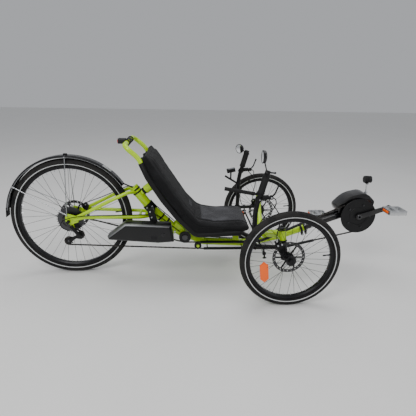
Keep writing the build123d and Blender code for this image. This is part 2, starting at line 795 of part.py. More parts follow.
def pedal(name, side, end, inner):
    """Platform with a barrel round the axle and two windows."""
    x, z = end
    length, thickness, depth = 96.0, 22.0, 92.0
    y_start, y_end = side * (inner + 4), side * (inner + 4 + depth)
    middle = (y_start + y_end) / 2
    frame = Pos(x, middle, z) * Box(length, depth, thickness)
    frame = fillet(frame.edges().filter_by(Axis.Z), 9)
    for window in (-1, 1):
        frame -= Pos(x + window * 26, middle, z) * Box(30, depth - 22, 40)
    frame += across(x, z, 12, *sorted((y_start, y_end)))
    frame -= across(x, z, 6 + running_gap, *sorted((y_start - side, side * (inner + 91))))
    nodes[f"pedal_{name}"] = frame


def derailleur():
    gx, gz = guide_pulley
    tx, tz = tension_pulley
    plate_side = -dropout_inner - dropout_thickness
    bolt_x, bolt_z = rear_axle[0] + 16, rear_axle[1] - 27
    body = across(bolt_x, bolt_z, 8, plate_side - 16, plate_side - side_gap)
    body += rod((bolt_x, plate_side - 10.5, bolt_z), (gx, chain_y - 23, gz + 4), 9)
    body += across(gx, gz, 12, chain_y - 28, chain_y - 8 - side_gap)
    nodes["derailleur_body"] = body
    cage = None
    for y in (chain_y - 8, chain_y + 6):
        plate = side_plate(
            Polygon(
                spot((gx, gz), 9, 60),
                spot((gx, gz), 9, -20),
                spot((tx, tz), 9, -60),
                spot((tx, tz), 9, 140),
                align=None,
            ),
            y,
            y + 2,
        )
        for hub in ((gx, gz), (tx, tz)):
            plate += across(*hub, 11, y, y + 2)
        cage = plate if cage is None else cage + plate
    for hub in ((gx, gz), (tx, tz)):
        cage += across(*hub, 3, chain_y - 8, chain_y + 8)
    nodes["derailleur_cage"] = cage
    for name, hub in (("guide_pulley", (gx, gz)), ("tension_pulley", (tx, tz))):
        wheel = across(*hub, sprocket_radius(pulley_teeth), chain_y - 2.5, chain_y + 2.5)
        wheel += across(*hub, 8, chain_y - 5.4, chain_y + 5.4)
        wheel -= across(*hub, 3 + running_gap, chain_y - 9, chain_y + 9)
        nodes[name] = wheel


# ---------------------------------------------------------------- steering
caliper_mount_y = 340.0
stick_points = [(-165, 303, 272), (-165, 303, 455), (-157, 301.4, 504), (-122, 300, 634)]
tie_pin = Vector(-118, 321, 280)
tie_drop = 31.0
tie_rise = 16.0


def knuckle(name, side):
    """Kingpin, axle block, stub axle and the arm that carries the handlebar and the tie rod."""
    top = mirrored_point(head_top, side)
    bottom = mirrored_point(head_bottom, side)
    lift = (top - bottom).normalized()
    part = rod(bottom - lift * 30, top + lift * 6, kingpin_radius)
    part += rod(bottom - lift * 92, bottom - lift * side_gap, 17)
    part += rod(top + lift * side_gap, top + lift * 7, 14)
    axle_end = side * (track / 2 + 26)
    part += rod((0, side * 322, front_wheel_radius), (0, side * 351, front_wheel_radius), 15)
    part += rod((0, side * 340, front_wheel_radius), (0, axle_end, front_wheel_radius), front_axle_radius)
    arm_top = bottom - lift * 32
    part += rod(arm_top, (stick_points[0][0], side * stick_points[0][1], 280), 10)
    foot = Vector(stick_points[0][0], side * stick_points[0][1], stick_points[0][2])
    up = Vector(0, 0, 1)
    part += rod(foot - up * 6, foot + up * 22, stick_radius + 5)
    part -= rod(foot - up * 10, foot + up * 40, stick_radius + running_gap)
    pin_root = mirrored_point(tie_pin, side)
    pin_end = pin_root - lift * (tie_drop + tie_rise + 4)
    part += rod(pin_root + lift * 8, pin_root - lift * 8, 9)
    part += rod(pin_root, pin_end, 4)
    part += rod(pin_end, pin_end - lift * 3, 9.5)
    mount = Polygon((-12, 226), (-12, 262), (-52, 330), (-72, 316), (-40, 250), align=None)
    part += side_plate(mount, *sorted((side * (caliper_mount_y - 6), side * caliper_mount_y)))
    cap = across(0, front_wheel_radius, 11, *sorted((side * (track / 2 + 24.3), side * (track / 2 + 34))))
    bore = sorted((side * (track / 2), side * (track / 2 + 26)))
    cap -= across(0, front_wheel_radius, front_axle_radius, *bore)
    nodes[f"knuckle_{name}"] = Compound([part.solid(), cap.solid()])


def front_brake(name, side):
    """Caliper over the disc, with the hose up to the lever."""
    axis = (0, front_wheel_radius)
    centre = spot(axis, disc_radius - 4, 130)
    disc_middle = side * (track / 2 - 26 + disc_thickness / 2)
    block_y = sorted((side * (caliper_mount_y + side_gap), disc_middle + side * 4))
    block = caliper_block(axis, 130, *block_y, disc_middle)
    hose_points = [
        (centre[0] - 12, side * 346, centre[1] + 19),
        (centre[0] - 16, side * 346, centre[1] + 56),
        (centre[0] - 4, side * 340, centre[1] + 100),
        (centre[0] - 2, side * 330, centre[1] + 144),
        (centre[0] - 28, side * 318, centre[1] + 184),
        (-105, side * 306, 516.6),
    ]
    hose = bent_tube(hose_points, 2.5, hose_radii(hose_points))
    nodes[f"front_brake_{name}"] = Compound([block.solid(), hose.solid()])


def hose_radii(points):
    """Largest arcs that share each run evenly between its two corners."""
    vectors = [Vector(*point) for point in points]
    radii = []
    for before, corner, after in zip(vectors, vectors[1:], vectors[2:]):
        turn = radians((corner - before).get_angle(after - corner))
        shorter = min((corner - before).length, (after - corner).length)
        radii.append(0.45 * shorter / tan(turn / 2))
    return radii


def stick(name, side):
    """Handlebar stick with its grip and the lever clamp below it."""
    points = [(x, side * y, z) for x, y, z in stick_points]
    bar = bent_tube(points, stick_radius, [120, 150])
    top = Vector(*points[-1])
    run = (top - Vector(*points[-2])).normalized()
    grip = rod(top - run * grip_length, top, grip_radius)
    grip -= rod(top - run * (grip_length + 5), top + run * 5, stick_radius + running_gap)
    nodes[f"grip_{name}"] = grip
    seat = top - run * (grip_length + 28)
    reach = seat + Vector(52, side * 2, 6)
    hinge = reach + Vector(7, 0, 2)
    clamp = rod(seat - run * 8, seat + run * 8, stick_radius + 5) + rod(seat, reach, 8)
    clamp += across(hinge.X, hinge.Z, 9, hinge.Y - 10, hinge.Y + 10)
    clamp -= Pos(hinge + Vector(3, 0, 3)) * Box(24, 9, 30)
    clamp += across(hinge.X, hinge.Z, 3, hinge.Y - 8, hinge.Y + 8)
    clamp -= rod(seat - run * 20, seat + run * 20, stick_radius + running_gap)
    nodes[f"handlebar_{name}"] = Compound([bar.solid(), clamp.solid()])
    knee, tip = hinge + Vector(18, 0, 22), hinge + Vector(32, 0, 62)
    blade = bent_tube([hinge, knee, tip], 3.8, [20])
    blade += across(hinge.X, hinge.Z, 7, hinge.Y - 4.2, hinge.Y + 4.2)
    blade += Pos(tip) * Sphere(5)
    blade -= across(hinge.X, hinge.Z, 3 + running_gap, hinge.Y - 20, hinge.Y + 20)
    nodes[f"brake_lever_{name}"] = blade
    return top, run


def bar_end_shifter(top, run):
    """Shift lever at the top of the right grip; its housing carries the right mirror."""
    housing = rod(top + run * side_gap, top + run * 22, 13)
    hinge = top + run * 14
    y = hinge.Y
    slot = Plane(origin=hinge + run * 3, x_dir=(run.Z, 0, -run.X), z_dir=run)
    housing -= slot * Box(44, 10, 26)
    housing += across(hinge.X, hinge.Z, 3, y - 9, y + 9)
    socket = Vector(top.X - 4, y - 15, hinge.Z + 2)
    housing += rod((top.X - 4, y - 9, hinge.Z + 2), socket, 4)
    nodes["handlebar_right"] = Compound([*nodes["handlebar_right"].solids(), housing.solid()])
    lever = across(hinge.X, hinge.Z, 6, y - 4.7, y + 4.7)
    lever += rod(hinge, hinge + Vector(34, 0, -3), 4)
    lever += Pos(hinge + Vector(35, 0, -3)) * Sphere(5.5)
    lever -= across(hinge.X, hinge.Z, 3 + running_gap, y - 20, y + 20)
    nodes["shifter_lever"] = lever
    return socket


def mirrors(top_right, run, top_left):
    """Round mirrors that swivel on their stems."""
    base = Vector(top_right.X - 4, top_right.Y - 19.4, top_right.Z + 16)
    head = Vector(-147, base.Y - 4, 724)
    stem = rod(base, head, 3) + Pos(base) * Sphere(4)
    stem += rod(head - Vector(4, 0, 0), head + Vector(5, 0, 0), 29)
    nodes["mirror_right"] = stem
    cap_start = top_left + run * side_gap
    cap = rod(cap_start, top_left + run * 12, 14)
    face = Vector(-166, top_left.Y, 657)
    cap += rod(top_left + run * 7, face, 4)
    cap += rod(face - Vector(4, 0, 1.5), face + Vector(5, 0, 1.9), 27)
    nodes["mirror_left"] = cap


def display():
    """Control unit on a bar clamped to the left stick."""
    side_y = 303.0
    bar = rod((-165, side_y, 430), (-165, side_y, 446), stick_radius + 5)
    bar += rod((-170, side_y, 438), (-250, side_y, 486), 6)
    bar += rod((-214, side_y, 464), (-214, side_y, 512), 5)
    unit = Pos(-214, side_y, 522) * Rot(0, -12, 0) * Box(52, 34, 22)
    bar += unit
    bar -= rod((-165, side_y, 400), (-165, side_y, 460), stick_radius + running_gap)
    nodes["display"] = bar


def wrist_bar(top, run):
    """Flat rest behind the right grip."""
    seat = top - run * (grip_length + 7)
    ring = rod(seat - run * 5, seat + run * 5, stick_radius + 4)
    rear = Vector(-314, -286, 566)
    beam = rod(seat, rear, 5.5)
    pad = rod(seat + (rear - seat).normalized() * 26, rear, 9)
    ring += beam + pad
    ring -= rod(seat - run * 20, seat + run * 6.9, stick_radius + running_gap)
    ring -= rod(seat + run * 6.9, seat + run * 40, grip_radius + side_gap)
    nodes["wrist_bar"] = ring


def tie_rod():
    """Rod between the knuckle arms; its left eye slides along its pin and clears the arms' tilt."""
    ends = []
    for side in (RIGHT, LEFT):
        lift = (mirrored_point(head_top, side) - mirrored_point(head_bottom, side)).normalized()
        ends.append((mirrored_point(tie_pin, side) - lift * tie_drop, lift))
    (right_eye, right_lift), (left_eye, _) = ends
    up = Vector(0, 0, 1)
    bar = rod(right_eye + Vector(0, 6.5, 0), left_eye - Vector(0, 12, 0), 5)
    bar += rod(right_eye - right_lift * 5, right_eye + right_lift * 5, 9)
    bar += rod(left_eye - up * 3, left_eye + up * 3, 13)
    bar -= rod(right_eye - right_lift * 20, right_eye + right_lift * 20, 4 + running_gap)
    bar -= rod(left_eye - up * 20, left_eye + up * 20, 7.5)
    nodes["tie_rod"] = bar


def main():
    for name, side in SIDES.items():
        front_wheel(name, side)
        knuckle(name, side)
        front_brake(name, side)
    rear_wheel()
    cassette()
    main_frame()
    boom_clamp()
    boom()
    motor_housing()
    headlight()
    seat_frame()
    seat_cushion()
    rear_light()
    swingarm()
    elastomer_block()
    rear_axle_set()
    battery()
    battery_mount()
    fender()
    rear_caliper()
    chains()
    chain_guides()
    idler_pulley()
    crankset()
    derailleur()
    right_top, run = stick("right", RIGHT)
    left_top, _ = stick("left", LEFT)
    bar_end_shifter(right_top, run)
    mirrors(right_top, run, left_top)
    display()
    wrist_bar(right_top, run)
    tie_rod()
    boxes = [node.bounding_box() for node in nodes.values()]
    shift = -(min(box.min.X for box in boxes) + max(box.max.X for box in boxes)) / 2
    print("footprint centre moved by", round(shift, 3))
    os.makedirs("parts", exist_ok=True)
    for name, node in nodes.items():
        export_step(Pos(shift, 0, 0) * node, f"parts/{name}.step")
    print(len(nodes), "nodes")


main()
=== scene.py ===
"""Looks for a recumbent tadpole tricycle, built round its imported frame."""

import json
import math

import bmesh
import bpy
from bpy.props import FloatProperty, FloatVectorProperty, IntProperty, PointerProperty
from mathutils import Matrix, Vector, noise
from mathutils.bvhtree import BVHTree


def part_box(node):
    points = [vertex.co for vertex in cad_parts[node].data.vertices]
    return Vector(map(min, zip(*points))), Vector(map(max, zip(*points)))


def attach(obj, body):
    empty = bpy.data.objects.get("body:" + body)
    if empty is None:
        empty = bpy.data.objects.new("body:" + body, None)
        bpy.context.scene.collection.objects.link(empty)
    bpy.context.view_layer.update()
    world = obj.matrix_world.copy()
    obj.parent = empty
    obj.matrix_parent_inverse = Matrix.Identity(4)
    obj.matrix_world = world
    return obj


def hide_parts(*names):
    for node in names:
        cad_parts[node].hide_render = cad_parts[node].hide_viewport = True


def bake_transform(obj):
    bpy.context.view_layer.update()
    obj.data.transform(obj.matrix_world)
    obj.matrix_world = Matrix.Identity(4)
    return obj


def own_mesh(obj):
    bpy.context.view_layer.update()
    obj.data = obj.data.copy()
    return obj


bl_info = {
    "name": "Recumbent Tricycle",
    "version": (1, 0, 0),
    "blender": (4, 5, 0),
    "location": "View3D > Sidebar > Tricycle",
    "description": "Builds the finishes and fine parts of a recumbent tadpole tricycle",
    "category": "Add Mesh",
}

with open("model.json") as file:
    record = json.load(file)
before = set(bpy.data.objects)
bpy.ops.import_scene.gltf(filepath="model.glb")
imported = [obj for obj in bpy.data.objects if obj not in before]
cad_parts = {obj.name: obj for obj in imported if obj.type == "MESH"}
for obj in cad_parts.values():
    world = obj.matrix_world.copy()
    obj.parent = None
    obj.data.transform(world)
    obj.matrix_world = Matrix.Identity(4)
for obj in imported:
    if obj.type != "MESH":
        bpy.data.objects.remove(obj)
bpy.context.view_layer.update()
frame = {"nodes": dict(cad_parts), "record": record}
NODES = frame["nodes"]
BODY_OF = {node: body for body, members in frame["record"]["behaviour"]["bodies"].items() for node in members}
X = Vector((1, 0, 0))
Y = Vector((0, 1, 0))
Z = Vector((0, 0, 1))


def middle(node):
    low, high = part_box(node)
    return (low + high) / 2


FRONT_AXLE = middle("front_tyre_right")
REAR_AXLE = middle("rear_tyre")


def place(x, y, z):
    """Point given in millimetres from the ground under the front axle, forward, left and up."""
    return Vector((FRONT_AXLE.x + x / 1000, y / 1000, z / 1000))


# ---------------------------------------------------------------- settings
class TrikeColours(bpy.types.PropertyGroup):
    frame_paint: FloatVectorProperty(
        name="Frame paint", description="Colour of the painted tubes", subtype="COLOR", size=3,
        default=(0.47, 0.74, 0.0), min=0, max=1,
    )
    stripe: FloatVectorProperty(
        name="Tyre stripe", description="Colour of the reflective band on each tyre", subtype="COLOR", size=3,
        default=(0.62, 0.63, 0.63), min=0, max=1,
    )
    reflector: FloatVectorProperty(
        name="Reflector", description="Colour of the wheel and pedal reflectors", subtype="COLOR", size=3,
        default=(0.88, 0.115, 0.0), min=0, max=1,
    )


class TrikeSizes(bpy.types.PropertyGroup):
    seat_swell: FloatProperty(
        name="Seat swell", description="Furthest that the pad's cover may bulge", subtype="DISTANCE",
        unit="LENGTH", default=0.009, min=0.0, max=0.03,
    )
    seam_depth: FloatProperty(
        name="Seam depth", description="How far each sewn channel pulls into the pad", subtype="DISTANCE",
        unit="LENGTH", default=0.0045, min=0.0, max=0.01,
    )
    piping: FloatProperty(
        name="Piping", description="Radius of the cord sewn round the pad", subtype="DISTANCE", unit="LENGTH",
        default=0.0032, min=0.001, max=0.008,
    )
    bolt_head: FloatProperty(
        name="Bolt head", description="Radius of the cap screws", subtype="DISTANCE", unit="LENGTH",
        default=0.0042, min=0.001, max=0.01,
    )
    chain_pitch: FloatProperty(
        name="Chain pitch", description="Distance from one roller to the next", subtype="DISTANCE",
        unit="LENGTH", default=0.0127, min=0.006, max=0.02,
    )
    rim_holes: IntProperty(
        name="Nipples", description="Spoke nipples in each front rim", default=32, min=12, max=48,
    )


# ---------------------------------------------------------------- shader arithmetic
class Value:
    """A node's output that takes part in Python arithmetic, each sign adding a Math node."""

    def __init__(self, finish, socket):
        self.finish = finish
        self.socket = socket

    def math(self, operation, *others):
        inputs = {0: self}
        inputs.update({index + 1: other for index, other in enumerate(others)})
        return self.finish.node("ShaderNodeMath", {"operation": operation}, inputs)

    def __add__(self, other):
        return self.math("ADD", other)

    def __sub__(self, other):
        return self.math("SUBTRACT", other)

    def __mul__(self, other):
        return self.math("MULTIPLY", other)

    def __truediv__(self, other):
        return self.math("DIVIDE", other)

    def __rsub__(self, other):
        return self.finish.node("ShaderNodeMath", {"operation": "SUBTRACT"}, {0: other, 1: self})

    __radd__ = __add__
    __rmul__ = __mul__

    def band(self, low, high, blur):
        """1 between two values, fading to 0 over the blur outside them."""
        rise = self.finish.node(
            "ShaderNodeMapRange", {"interpolation_type": "SMOOTHSTEP"},
            {"Value": self, "From Min": low - blur, "From Max": low},
        )
        fall = self.finish.node(
            "ShaderNodeMapRange", {"interpolation_type": "SMOOTHSTEP"},
            {"Value": self, "From Min": high, "From Max": high + blur},
        )
        return rise * (1 - fall)

    def above(self, low, blur):
        return self.finish.node(
            "ShaderNodeMapRange", {"interpolation_type": "SMOOTHSTEP"},
            {"Value": self, "From Min": low - blur, "From Max": low},
        )


class Finish:
    """One material, with its shader and its one way of making a node."""

    def __init__(self, name, color, roughness, metallic=0.0, **fixed):
        self.material = bpy.data.materials.new(name)
        self.material.use_nodes = True
        self.tree = self.material.node_tree
        self.shader = self.tree.nodes["Principled BSDF"]
        self.set("Base Color", (*color, 1))
        self.set("Roughness", roughness)
        self.set("Metallic", metallic)
        for socket, value in fixed.items():
            self.set(socket.replace("_", " "), value)
        self.material.diffuse_color = (*color, 1)
        self.coordinates = self.node("ShaderNodeTexCoord", {}, {}, "Object")

    def set(self, socket, value):
        target = self.shader.inputs[socket]
        if isinstance(value, Value):
            self.tree.links.new(value.socket, target)
        else:
            target.default_value = value
        return self

    def node(self, kind, settings, inputs, output=0):
        made = self.tree.nodes.new(kind)
        for key, value in settings.items():
            if key == "stops":
                for index, (at, color) in enumerate(value):
                    ramp = made.color_ramp.elements
                    stop = ramp[index] if index < len(ramp) else ramp.new(at)
                    stop.position, stop.color = at, color
            else:
                setattr(made, key, value)
        for key, value in inputs.items():
            if isinstance(value, Value):
                self.tree.links.new(value.socket, made.inputs[key])
            else:
                made.inputs[key].default_value = value
        return Value(self, made.outputs[output])

    def centred(self, centre, scale=(1, 1, 1), turn=(0, 0, 0)):
        """Object coordinates measured from a point."""
        moved = self.node(
            "ShaderNodeVectorMath", {"operation": "SUBTRACT"}, {0: self.coordinates, 1: tuple(centre)}
        )
        return self.node("ShaderNodeMapping", {}, {"Vector": moved, "Scale": scale, "Rotation": turn})

    def axes(self, vector):
        return [self.node("ShaderNodeSeparateXYZ", {}, {0: vector}, index) for index in range(3)]

    def noise(self, scale, detail=3.0, vector=None, rough=0.5):
        inputs = {"Vector": vector or self.coordinates, "Scale": scale, "Detail": detail, "Roughness": rough}
        return self.node("ShaderNodeTexNoise", {}, inputs)

    def cells(self, scale, vector=None):
        inputs = {"Vector": vector or self.coordinates, "Scale": scale}
        return self.node("ShaderNodeTexVoronoi", {"feature": "DISTANCE_TO_EDGE"}, inputs)

    def mix(self, factor, first, second):
        """Colour that goes from the first to the second as the factor goes from 0 to 1."""
        made = self.tree.nodes.new("ShaderNodeMix")
        made.data_type = "RGBA"
        colour_sockets = [s for s in made.inputs if s.type == "RGBA"]
        factor_socket = next(s for s in made.inputs if s.type == "VALUE")
        sockets = (factor_socket, *colour_sockets[:2])
        for socket, value in zip(sockets, (factor, first, second)):
            if isinstance(value, Value):
                self.tree.links.new(value.socket, socket)
            elif socket.type == "RGBA":
                socket.default_value = (*value[:3], 1)
            else:
                socket.default_value = value
        return Value(self, next(s for s in made.outputs if s.type == "RGBA"))

    def bump(self, height, strength, distance):
        inputs = {"Height": height, "Strength": strength, "Distance": distance}
        return self.set("Normal", self.node("ShaderNodeBump", {}, inputs))

    def speckle(self, color, low, high, scale):
        """Base colour that wanders a little, and a roughness that follows it."""
        cloud = self.noise(scale, 5)
        dark = tuple(c * low for c in color)
        light = tuple(min(1, c * high) for c in color)
        self.set("Base Color", self.mix(cloud, dark, light))
        return cloud


# ---------------------------------------------------------------- finishes
def frame_paint(color):
    finish = Finish(
        "frame_paint", color, 0.34, 0.0, Coat_Weight=0.35, Coat_Roughness=0.08, Specular_IOR_Level=0.3
    )
    cloud = finish.speckle(color, 0.86, 1.08, 9)
    finish.set("Roughness", cloud * 0.14 + 0.24)
    finish.bump(finish.noise(420, 2) + finish.noise(40, 2) * 0.6, 0.12, 0.0004)
    return finish.material


def satin_black(name="satin_black", tone=0.007, roughness=0.42):
    color = (tone, tone, tone * 1.06)
    finish = Finish(name, color, roughness, 0.2, Specular_IOR_Level=0.3)
    cloud = finish.speckle(color, 0.7, 1.7, 24)
    finish.set("Roughness", cloud * 0.22 + (roughness - 0.1))
    finish.bump(finish.noise(1600, 2), 0.18, 0.0002)
    return finish.material


def gloss_black():
    color = (0.004, 0.004, 0.005)
    finish = Finish(
        "gloss_black", color, 0.2, 0.0, Coat_Weight=0.25, Coat_Roughness=0.05, Specular_IOR_Level=0.35
    )
    dust = finish.noise(14, 6)
    finish.set("Base Color", finish.mix(dust.above(0.62, 0.2), color, (0.016, 0.015, 0.014)))
    finish.set("Roughness", dust * 0.25 + 0.1)
    finish.bump(finish.noise(300, 2), 0.05, 0.0003)
    return finish.material


def moulded_black():
    color = (0.007, 0.007, 0.0075)
    finish = Finish("moulded_black", color, 0.55, 0.0, Specular_IOR_Level=0.3)
    finish.speckle(color, 0.75, 1.5, 30)
    grain = finish.cells(1100)
    finish.set("Roughness", finish.noise(60, 3) * 0.2 + 0.42)
    finish.bump(grain + finish.noise(700, 2) * 0.4, 0.3, 0.0003)
    return finish.material


def soft_rubber():
    color = (0.008, 0.008, 0.008)
    finish = Finish("soft_rubber", color, 0.72, 0.0, Specular_IOR_Level=0.25)
    finish.speckle(color, 0.7, 1.6, 40)
    finish.bump(finish.noise(900, 4), 0.3, 0.0004)
    return finish.material


RIB_PITCH = 0.005


def grip_rubber(axis_start, run):
    """Rubber with turned ribs along the grip."""
    color = (0.009, 0.009, 0.009)
    finish = Finish("grip_rubber", color, 0.68, 0.0, Specular_IOR_Level=0.3)
    moved = finish.centred(axis_start)
    inputs = {0: moved, 1: tuple(run)}
    along = finish.node("ShaderNodeVectorMath", {"operation": "DOT_PRODUCT"}, inputs, "Value")
    ribs = (along * (2 * math.pi / RIB_PITCH)).math("SINE")
    finish.speckle(color, 0.7, 1.5, 60)
    finish.bump(ribs * 0.5 + finish.noise(1500, 2) * 0.3, 0.5, 0.0012)
    return finish.material


def machined_alloy(name="machined_alloy", color=(0.62, 0.63, 0.65), roughness=0.3):
    finish = Finish(name, color, roughness, 1.0)
    finish.speckle(color, 0.8, 1.15, 30)
    streak = finish.noise(300, 3, finish.centred((0, 0, 0), (1, 14, 1)))
    finish.set("Roughness", streak * 0.25 + (roughness - 0.1))
    finish.bump(streak, 0.12, 0.0002)
    return finish.material


def chain_steel():
    color = (0.09, 0.086, 0.082)
    finish = Finish("chain_steel", color, 0.38, 1.0)
    oil = finish.noise(90, 5)
    finish.set("Base Color", finish.mix(oil.above(0.6, 0.25), color, (0.025, 0.022, 0.02)))
    finish.set("Roughness", oil * 0.35 + 0.2)
    finish.bump(finish.noise(800, 2), 0.1, 0.0002)
    return finish.material


def wheel_axes(finish, centre):
    """Radius, angle and side of a point on a wheel."""
    x, y, z = finish.axes(finish.centred(centre))
    radius = (x * x + z * z).math("SQRT")
    angle = z.math("ARCTAN2", x)
    return radius, angle, y


def tyre_rubber(name, centre, outer, stripe_radius, stripe):
    """Black tyre with a diagonal tread, fine side ribs and a reflective band."""
    color = (0.008, 0.008, 0.0085)
    finish = Finish(name, color, 0.75, 0.0, Specular_IOR_Level=0.22)
    radius, angle, y = wheel_axes(finish, centre)
    grime = finish.noise(26, 6)
    base = finish.mix(grime.above(0.55, 0.25), color, (0.02, 0.019, 0.018))
    band = radius.band(stripe_radius - 0.0016, stripe_radius + 0.0016, 0.0005)
    crown = radius.above(outer - 0.007, 0.002)
    dust = crown * grime * 0.5
    base = finish.mix(dust, base, (0.03, 0.028, 0.026))
    finish.set("Base Color", finish.mix(band, base, stripe))
    finish.set("Roughness", 0.82 - band * 0.42 - grime * 0.1)
    lug = (angle * 74 + y.math("ABSOLUTE") * 230).math("SINE").above(0.1, 0.3)
    centre_line = y.math("ABSOLUTE").above(0.0035, 0.0008)
    ribs = (radius * 2400).math("SINE") * (1 - crown) * 0.18
    finish.bump(crown * lug * centre_line + ribs + finish.noise(700, 2) * 0.12, 0.75, 0.0016)
    return finish.material


def rim_black(name, centre):
    color = (0.007, 0.007, 0.008)
    finish = Finish(name, color, 0.3, 0.3, Specular_IOR_Level=0.35)
    radius, angle, _ = wheel_axes(finish, centre)
    finish.speckle(color, 0.7, 1.6, 20)
    seam = angle.math("ABSOLUTE").above(0.004, 0.001)
    finish.set("Roughness", finish.noise(50, 4) * 0.25 + 0.18)
    finish.bump(seam + (radius * 5200).math("SINE") * 0.08, 0.25, 0.0003)
    return finish.material


def hub_and_disc(name, centre, disc_side):
    """Black hub shell with a ground steel rotor on its inner end."""
    finish = Finish(name, (0.008, 0.008, 0.009), 0.3, 0.5)
    radius, angle, y = wheel_axes(finish, centre)
    rotor = radius.above(0.0262, 0.0006) * (y * disc_side).above(0.015, 0.002)
    track = radius.above(0.064, 0.001)
    steel = finish.mix(track, (0.012, 0.012, 0.013), (0.07, 0.07, 0.073))
    worn = finish.mix(finish.noise(60, 4) * 0.35, steel, (0.06, 0.058, 0.055))
    finish.set("Base Color", finish.mix(rotor, (0.008, 0.008, 0.009), worn))
    finish.set("Metallic", rotor * 0.6 + 0.3)
    finish.set("Roughness", 0.3 + track * 0.06 + finish.noise(200, 2) * 0.12)
    finish.bump((radius * 9000).math("SINE") * rotor, 0.08, 0.0002)
    return finish.material


def reflector_plastic(color):
    finish = Finish("reflector_plastic", color, 0.3, 0.0, Coat_Weight=0.15)
    prisms = finish.cells(380)
    painted_glow = finish.mix(prisms.above(0.25, 0.3), color, tuple(min(1, c * 1.12) for c in color))
    finish.set("Base Color", painted_glow)
    # The reflector's colour is also emitted. This is a painted glow, since a reflector is no lamp.
    finish.set("Emission Color", painted_glow)
    finish.set("Emission Strength", 0.12)
    finish.bump(prisms, 0.5, 0.0008)
    return finish.material


def clear_lens(name, color, strength=0.0):
    finish = Finish(name, color, 0.08, 0.0, Coat_Weight=1.0, IOR=1.5)
    facets = finish.cells(260)
    lit = tuple(min(1, c * 1.3 + 0.02) for c in color)
    finish.set("Base Color", finish.mix(facets.above(0.3, 0.3), color, lit))
    finish.set("Emission Color", (*color, 1))
    finish.set("Emission Strength", strength)
    finish.bump(facets, 0.3, 0.0008)
    return finish.material


def mirror_face():
    finish = Finish("mirror_face", (0.86, 0.87, 0.89), 0.03, 1.0)
    finish.set("Roughness", finish.noise(12, 3) * 0.03 + 0.015)
    return finish.material


def seat_mesh(name="seat_mesh", color=(0.0065, 0.0065, 0.007), open_weave=0.00115):
    """Stretched spacer mesh: small open cells over darker padding, dusty on the crowns."""
    finish = Finish(name, color, 0.86, 0.0, Sheen_Weight=0.06, Sheen_Roughness=0.5, Specular_IOR_Level=0.15)
    x, y, z = finish.axes(finish.coordinates)
    along = x * 0.75 - z * 0.66
    turn = 2 * math.pi / (open_weave * 2)
    rows = (along * turn).math("SINE")
    columns = (y * turn).math("SINE")
    weave = rows * columns
    wear = finish.noise(9, 5)
    thread = finish.mix(weave.above(0.3, 0.5), tuple(c * 0.55 for c in color), tuple(c * 1.9 for c in color))
    finish.set("Base Color", finish.mix(wear.above(0.66, 0.22), thread, tuple(c * 2.2 for c in color)))
    finish.set("Roughness", wear * 0.15 + 0.72)
    finish.bump(weave + finish.noise(420, 3) * 0.3, 0.55, 0.0006)
    return finish.material


def webbing(name="webbing", color=(0.007, 0.007, 0.0075)):
    finish = Finish(name, color, 0.8, 0.0, Specular_IOR_Level=0.2)
    x, y, z = finish.axes(finish.coordinates)
    ribs = ((x + z) * 2600).math("SINE") * (y * 1500).math("SINE")
    finish.speckle(color, 0.7, 1.8, 60)
    finish.bump(ribs, 0.5, 0.0005)
    return finish.material


def screen_glass():
    finish = Finish("screen_glass", (0.03, 0.035, 0.04), 0.08, 0.0, Coat_Weight=1.0)
    smear = finish.noise(40, 4)
    finish.set("Base Color", finish.mix(smear, (0.02, 0.023, 0.027), (0.06, 0.07, 0.078)))
    finish.set("Roughness", smear * 0.12 + 0.04)
    return finish.material


def fender_black(stripe):
    """Glossy blade with a pale patch near its nose and a fine ridge along its spine, and bright stays."""
    color = (0.005, 0.005, 0.006)
    finish = Finish(
        "fender_black", color, 0.3, 0.0, Coat_Weight=0.25, Coat_Roughness=0.1, Specular_IOR_Level=0.35
    )
    radius, angle, y = wheel_axes(finish, REAR_AXLE)
    blade = radius.above(0.3395, 0.0005)
    patch = angle.band(0.86, 1.0, 0.006) * blade
    side = y.math("ABSOLUTE").band(0.006, 0.015, 0.001)
    mark = patch * side
    stay = 1 - radius.above(0.3325, 0.0005)
    finish.set("Base Color", finish.mix(stay, finish.mix(mark, color, stripe), (0.42, 0.43, 0.44)))
    finish.set("Metallic", stay * 0.9)
    finish.set("Roughness", finish.noise(20, 5) * 0.25 + 0.16)
    ridge = y.math("ABSOLUTE").band(0.0, 0.0025, 0.001)
    finish.bump(ridge * blade, 0.4, 0.0008)
    return finish.material


def battery_shell():
    """Satin moulded case."""
    color = (0.006, 0.006, 0.0065)
    finish = Finish("battery_shell", color, 0.34, 0.0, Specular_IOR_Level=0.35)
    finish.speckle(color, 0.8, 1.5, 18)
    finish.set("Roughness", finish.noise(36, 4) * 0.2 + 0.24)
    finish.bump(finish.cells(1300), 0.15, 0.0002)
    return finish.material


def floor_finish():
    finish = Finish("studio_floor", (0.8, 0.79, 0.77), 0.6, 0.0)
    cloud = finish.noise(2.2, 4)
    finish.set("Base Color", finish.mix(cloud, (0.77, 0.765, 0.75), (0.83, 0.825, 0.81)))
    finish.set("Roughness", cloud * 0.1 + 0.55)
    return finish.material


# ---------------------------------------------------------------- making pieces
def dress(node, material):
    """Gives a CAD node its finish."""
    thing = NODES[node]
    if not thing.material_slots:
        thing.data.materials.append(material)
    for holder in thing.material_slots:
        holder.material = material


def piece(name, body, shape, material, replaces=(), sharp=35, keep_normals=False):
    """Turns a bmesh into a piece that rides on a body, or on none if no body is given."""
    if not keep_normals:
        bmesh.ops.recalc_face_normals(shape, faces=shape.faces)
    mesh = bpy.data.meshes.new(name)
    shape.to_mesh(mesh)
    shape.free()
    for polygon in mesh.polygons:
        polygon.use_smooth = True
    mesh.set_sharp_from_angle(angle=math.radians(sharp))
    thing = bpy.data.objects.new(name, mesh)
    bpy.context.scene.collection.objects.link(thing)
    thing.data.materials.append(material)
    if body:
        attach(thing, body)
    if replaces:
        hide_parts(*replaces)
    return thing


